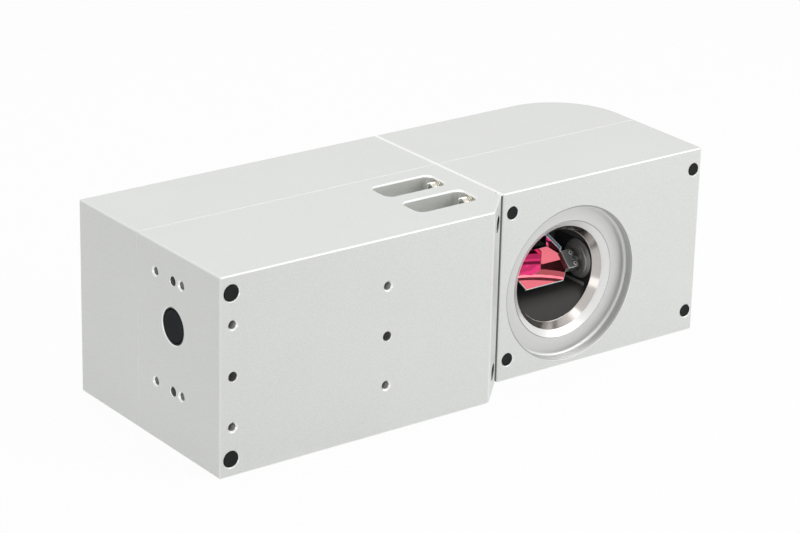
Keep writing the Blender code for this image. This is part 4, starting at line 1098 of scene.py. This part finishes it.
# %% Clamps
def clamp(name, tail, tail_half, stand, body, node):
    """A slotted plate round the mirror's tail. Its far end is two lobes, each with a sunk screw."""
    left, half, half_plate = tail + 0.25, tail_half + 0.8, 3.2
    screw_x, screw_y = left + 6.8, 3.85
    lobe, slack = half - screw_y, 0.25
    notch = arc((screw_x, 0), screw_y - lobe, -90, -270)[1:-1]
    outline = [(left, -half)] + arc((screw_x, -screw_y), lobe, -90, 90) + notch
    outline += arc((screw_x, screw_y), lobe, -90, 90) + [(left, half)]
    # The clamp's grey is lightened as painted light, and its edges carry a painted highlight.
    made = solid(name, prism(outline, "Z", -half_plate, half_plate), clamp_grey_painted_light, clamp_painted_highlight)
    # The rounded edges get the painted highlight.
    break_edges(made, 0.3, segments=2)
    collar = rod(screw_x - 3, left + 8.8, 2.9, "X", (0, 0), 40)
    carve(made, [collar], clamp_grey_painted_light, operation="UNION")
    carve(made, [block((left - 1, -tail_half - slack, -glass_half - slack),
                       (tail + 2.65, tail_half + slack, glass_half + slack))], clamp_grey_painted_light)
    screws = [(screw_x, side * screw_y) for side in (-1, 1)]
    sink = [(half_plate - 0.9, 0), (half_plate - 0.9, 1.9), (half_plate - 0.2, 1.9), (half_plate, 2.1),
            (half_plate + 1, 2.1), (half_plate + 1, 0)]
    head = [(half_plate - 1.2, 0), (half_plate - 1.2, 1.6), (half_plate - 0.2, 1.6),
            (half_plate + 0.05, 1.35), (half_plate + 0.05, 0)]
    # The recesses round the screw heads are painted black as painted shade.
    carve(made, [lathe(sink, "Z", screw, 28) for screw in screws], satin_black)
    # The screw heads are painted pale as painted highlights.
    carve(made, [lathe(head, "Z", screw, 28) for screw in screws], clamp_painted_highlight, operation="UNION")
    # The screws' sockets are painted black as painted shade.
    carve(made, [rod(half_plate - 0.7, half_plate + 1, 0.75, "Z", screw, 6) for screw in screws], satin_black)
    made.data.transform(stand)
    return dress(made, body, "grey_metal", node)


clamp("first_clamp", 14, 6, first_stand, "first_scanner", "first_mirror_clamp")
clamp("second_clamp", 18, 5.5, second_stand, "second_scanner", "second_mirror_clamp")
print("Made two clamps")

# %% [markdown]
# The motors are slim black cylinders, coloured mid grey as painted light for the dim chamber. Their noses
# show concentric steps: a bearing seat, a retaining ring and a chamfered rim.

# %% Motors
def motor(name, nose, stand, node):
    profile = [(1.9, 2.9), (1.9, 6.6), (0.9, 6.8), (0.9, 7.4), (0.15, 7.6), (0, 7.9), (0, 9.5), (0.3, 9.6),
               (0.3, 10.1), (0, 10.2), (0, 10.6), (0.5, 11.1), (1.6, 11.3), (2.4, 12.6), (2.8, 13),
               (43.9, 13), (44.4, 12.5), (44.4, 2.9)]
    placed = [(along + nose, radius) for along, radius in profile]
    made = solid(name, lathe(placed, "X", (0, 0), 72, closed=True), motor_painted_light)
    made.data.transform(stand)
    return dress(made, "housing", "dark_metal", node)


motor("first_motor_case", 23.6, first_stand, "first_motor")
motor("second_motor_case", 28.1, second_stand, "second_motor")
print("Made two motors")

# %% [markdown]
# The motors sit crosswise in one black block: a floor, a back wall with the first motor's bore and a side
# wall with the second's. It is what shows as the dark chamber behind the aperture. The side wall is painted
# nearly black as painted shade, and a strip along its foot is painted light grey, a painted highlight line.

# %% Mount
mount_low, mount_high = drawn("galvo_mount")
mount_wall_x, mount_wall_y = aperture_x + 30.5, beam_y + 26
mount_floor, mount_shoulder, shoulder_chamfer = aperture_z - 15, aperture_z + 18, 3.6
arch_top, arch_left = mount_floor + 19, mount_low.x + 6
nose_radius, motor_bore = 9, 13.25
strip_width, strip_height, strip_slope = 1.4, 1.5, 0.9
nose = arc((mount_low.y + nose_radius, mount_floor - nose_radius), nose_radius, 90, 180, 10)
base_side = nose + [(mount_low.y, mount_low.z), (mount_high.y, mount_low.z), (mount_high.y, mount_floor)]
mount = solid("mount_block", prism(base_side, "X", mount_low.x, mount_high.x), mount_black)
shoulder = [(mount_wall_x, mount_floor - 1), (mount_high.x, mount_floor - 1), (mount_high.x, mount_shoulder),
            (mount_wall_x + shoulder_chamfer, mount_shoulder),
            (mount_wall_x, mount_shoulder - shoulder_chamfer)]
carve(mount, [prism(shoulder, "Y", mount_low.y, mount_wall_y + 1),
              block((mount_low.x, mount_wall_y, mount_floor - 1), mount_high)],
      mount_black, operation="UNION")
carve(mount, [block((arch_left, mount_wall_y - 1, mount_floor), (mount_wall_x, mount_high.y + 1, arch_top))],
      mount_black)
break_edges(mount, 0.5, segments=2)
second_place, first_place = (second_pivot.y, second_pivot.z), (first_pivot.x, first_pivot.z)
carve(mount, [rod(mount_wall_x - 1, mount_high.x + 1, motor_bore, "X", second_place, 72),
              rod(mount_wall_y - 1, mount_high.y + 1, motor_bore, "Y", first_place, 72)], satin_black)
# The foot strip is painted light grey as a painted highlight line.
strip_left, strip_top = mount_wall_x - strip_width, mount_floor + strip_height
strip_side = [(strip_left, mount_floor - 1), (mount_wall_x + 1, mount_floor - 1),
              (mount_wall_x + 1, strip_top), (strip_left + strip_slope, strip_top),
              (strip_left, strip_top - strip_slope)]
strip = prism(strip_side, "Y", mount_low.y + 6, mount_wall_y + 1)
carve(mount, [strip], foot_strip_painted_highlight, operation="UNION")
# Faces turned to the left on the side wall get the painted shade.
mount.data.materials.append(side_wall_painted_shade)
for face in mount.data.polygons:
    if face.normal.x < -0.9 and face.center.z > strip_top + 0.1:
        face.material_index = len(mount.data.materials) - 1
dress(mount, "housing", "black_metal", "galvo_mount")
print("The mount's floor is at", mount_floor, "mm")

# %% [markdown]
# ## Connectors
# Two ordinary sub-D connectors: a flange, a shell with its well-known slanted sides, a dark insulator full
# of contacts, and a hexagonal post on each side.

# %% Connectors
flange_half, pin_pitch, pin_row = 6.25, 2.76, 1.3


def slanted(x, z, width, tall, lean):
    half = width / 2
    return [(x - half + lean, z - tall / 2), (x + half - lean, z - tall / 2), (x + half, z + tall / 2),
            (x - half, z + tall / 2)]


def connector(name, pins_per_row):
    low, high = drawn(name)
    x, z = connectors[name]
    width = shell_widths[name]
    flange_rear = hollow_rear - 0.25
    half = width / 2 + post_offset + post_radius
    flange = rounded((x - half, z - flange_half), (x + half, z + flange_half), 1.5, 5)
    made = solid(f"{name}_shell", prism(flange, "Y", flange_rear - 1.2, flange_rear),
                 ground_steel, black_plastic, gold_pin)
    shell = prism(slanted(x, z, width, shell_height, 1.6), "Y", low.y, high.y)
    carve(made, [shell], ground_steel, operation="UNION")
    carve(made, [prism(slanted(x, z, width - 1.6, shell_height - 1.6, 1.5), "Y", high.y - 4.2, high.y + 1)],
          black_plastic)
    pin = [(high.y - 4.5, 0), (high.y - 4.5, 0.5), (high.y - 0.9, 0.5), (high.y - 0.6, 0.3),
           (high.y - 0.6, 0)]
    for row_z, count in ((z + pin_row, pins_per_row), (z - pin_row, pins_per_row - 1)):
        spots = [(x + (i - (count - 1) / 2) * pin_pitch, row_z) for i in range(count)]
        carve(made, [lathe(pin, "Y", spot, 10) for spot in spots], gold_pin, operation="UNION")
    for side in (-1, 1):
        post = (x + side * (width / 2 + post_offset), z)
        hexagon = prism(circle(post, post_radius, 6), "Y", flange_rear - 0.5, high.y)
        carve(made, [hexagon], ground_steel, operation="UNION")
        carve(made, [rod(high.y - 3.5, high.y + 1, 1.3, "Y", post, 16)], satin_black)
    return dress(made, "housing", "steel", name)


connector("signal_connector", 13)
connector("power_connector", 5)
print("Made two connectors")

# %% [markdown]
# ## Finishes for the pieces that keep their own shape
# Everything closed inside the blocks already has the right shape. Each gets the finish of its own part.

# %% Dress the inner pieces
inner_finishes = {
    seal_rubber: ("focus_seal", "scan_seal", "coupling_seal"),
    ground_steel: ("guide_rod_front", "guide_rod_rear", "magnet_yoke", "first_rotor", "second_rotor",
                   "first_bearing", "second_bearing"),
    zinc_screw: tuple(f"{block_name}_corner_screw_{n}" for block_name in ("focus", "scan")
                      for n in (1, 2, 3, 4)),
    satin_black: ("focus_bench", "objective_barrel", "lens_retainer", "encoder_head"),
    bright_edge: ("lens_carriage",),
    clear_glass: ("moving_lens", "objective_lens_front", "objective_lens_rear", "encoder_scale"),
    copper_wire: ("voice_coil",),
    black_plastic: ("first_position_sensor", "second_position_sensor"),
    board_green: ("focus_board", "driver_board"),
}
for finish, names in inner_finishes.items():
    for name in names:
        slots = frame["nodes"][name].data.materials
        slots.clear()
        slots.append(finish)
print("Dressed", sum(len(names) for names in inner_finishes.values()), "inner pieces")
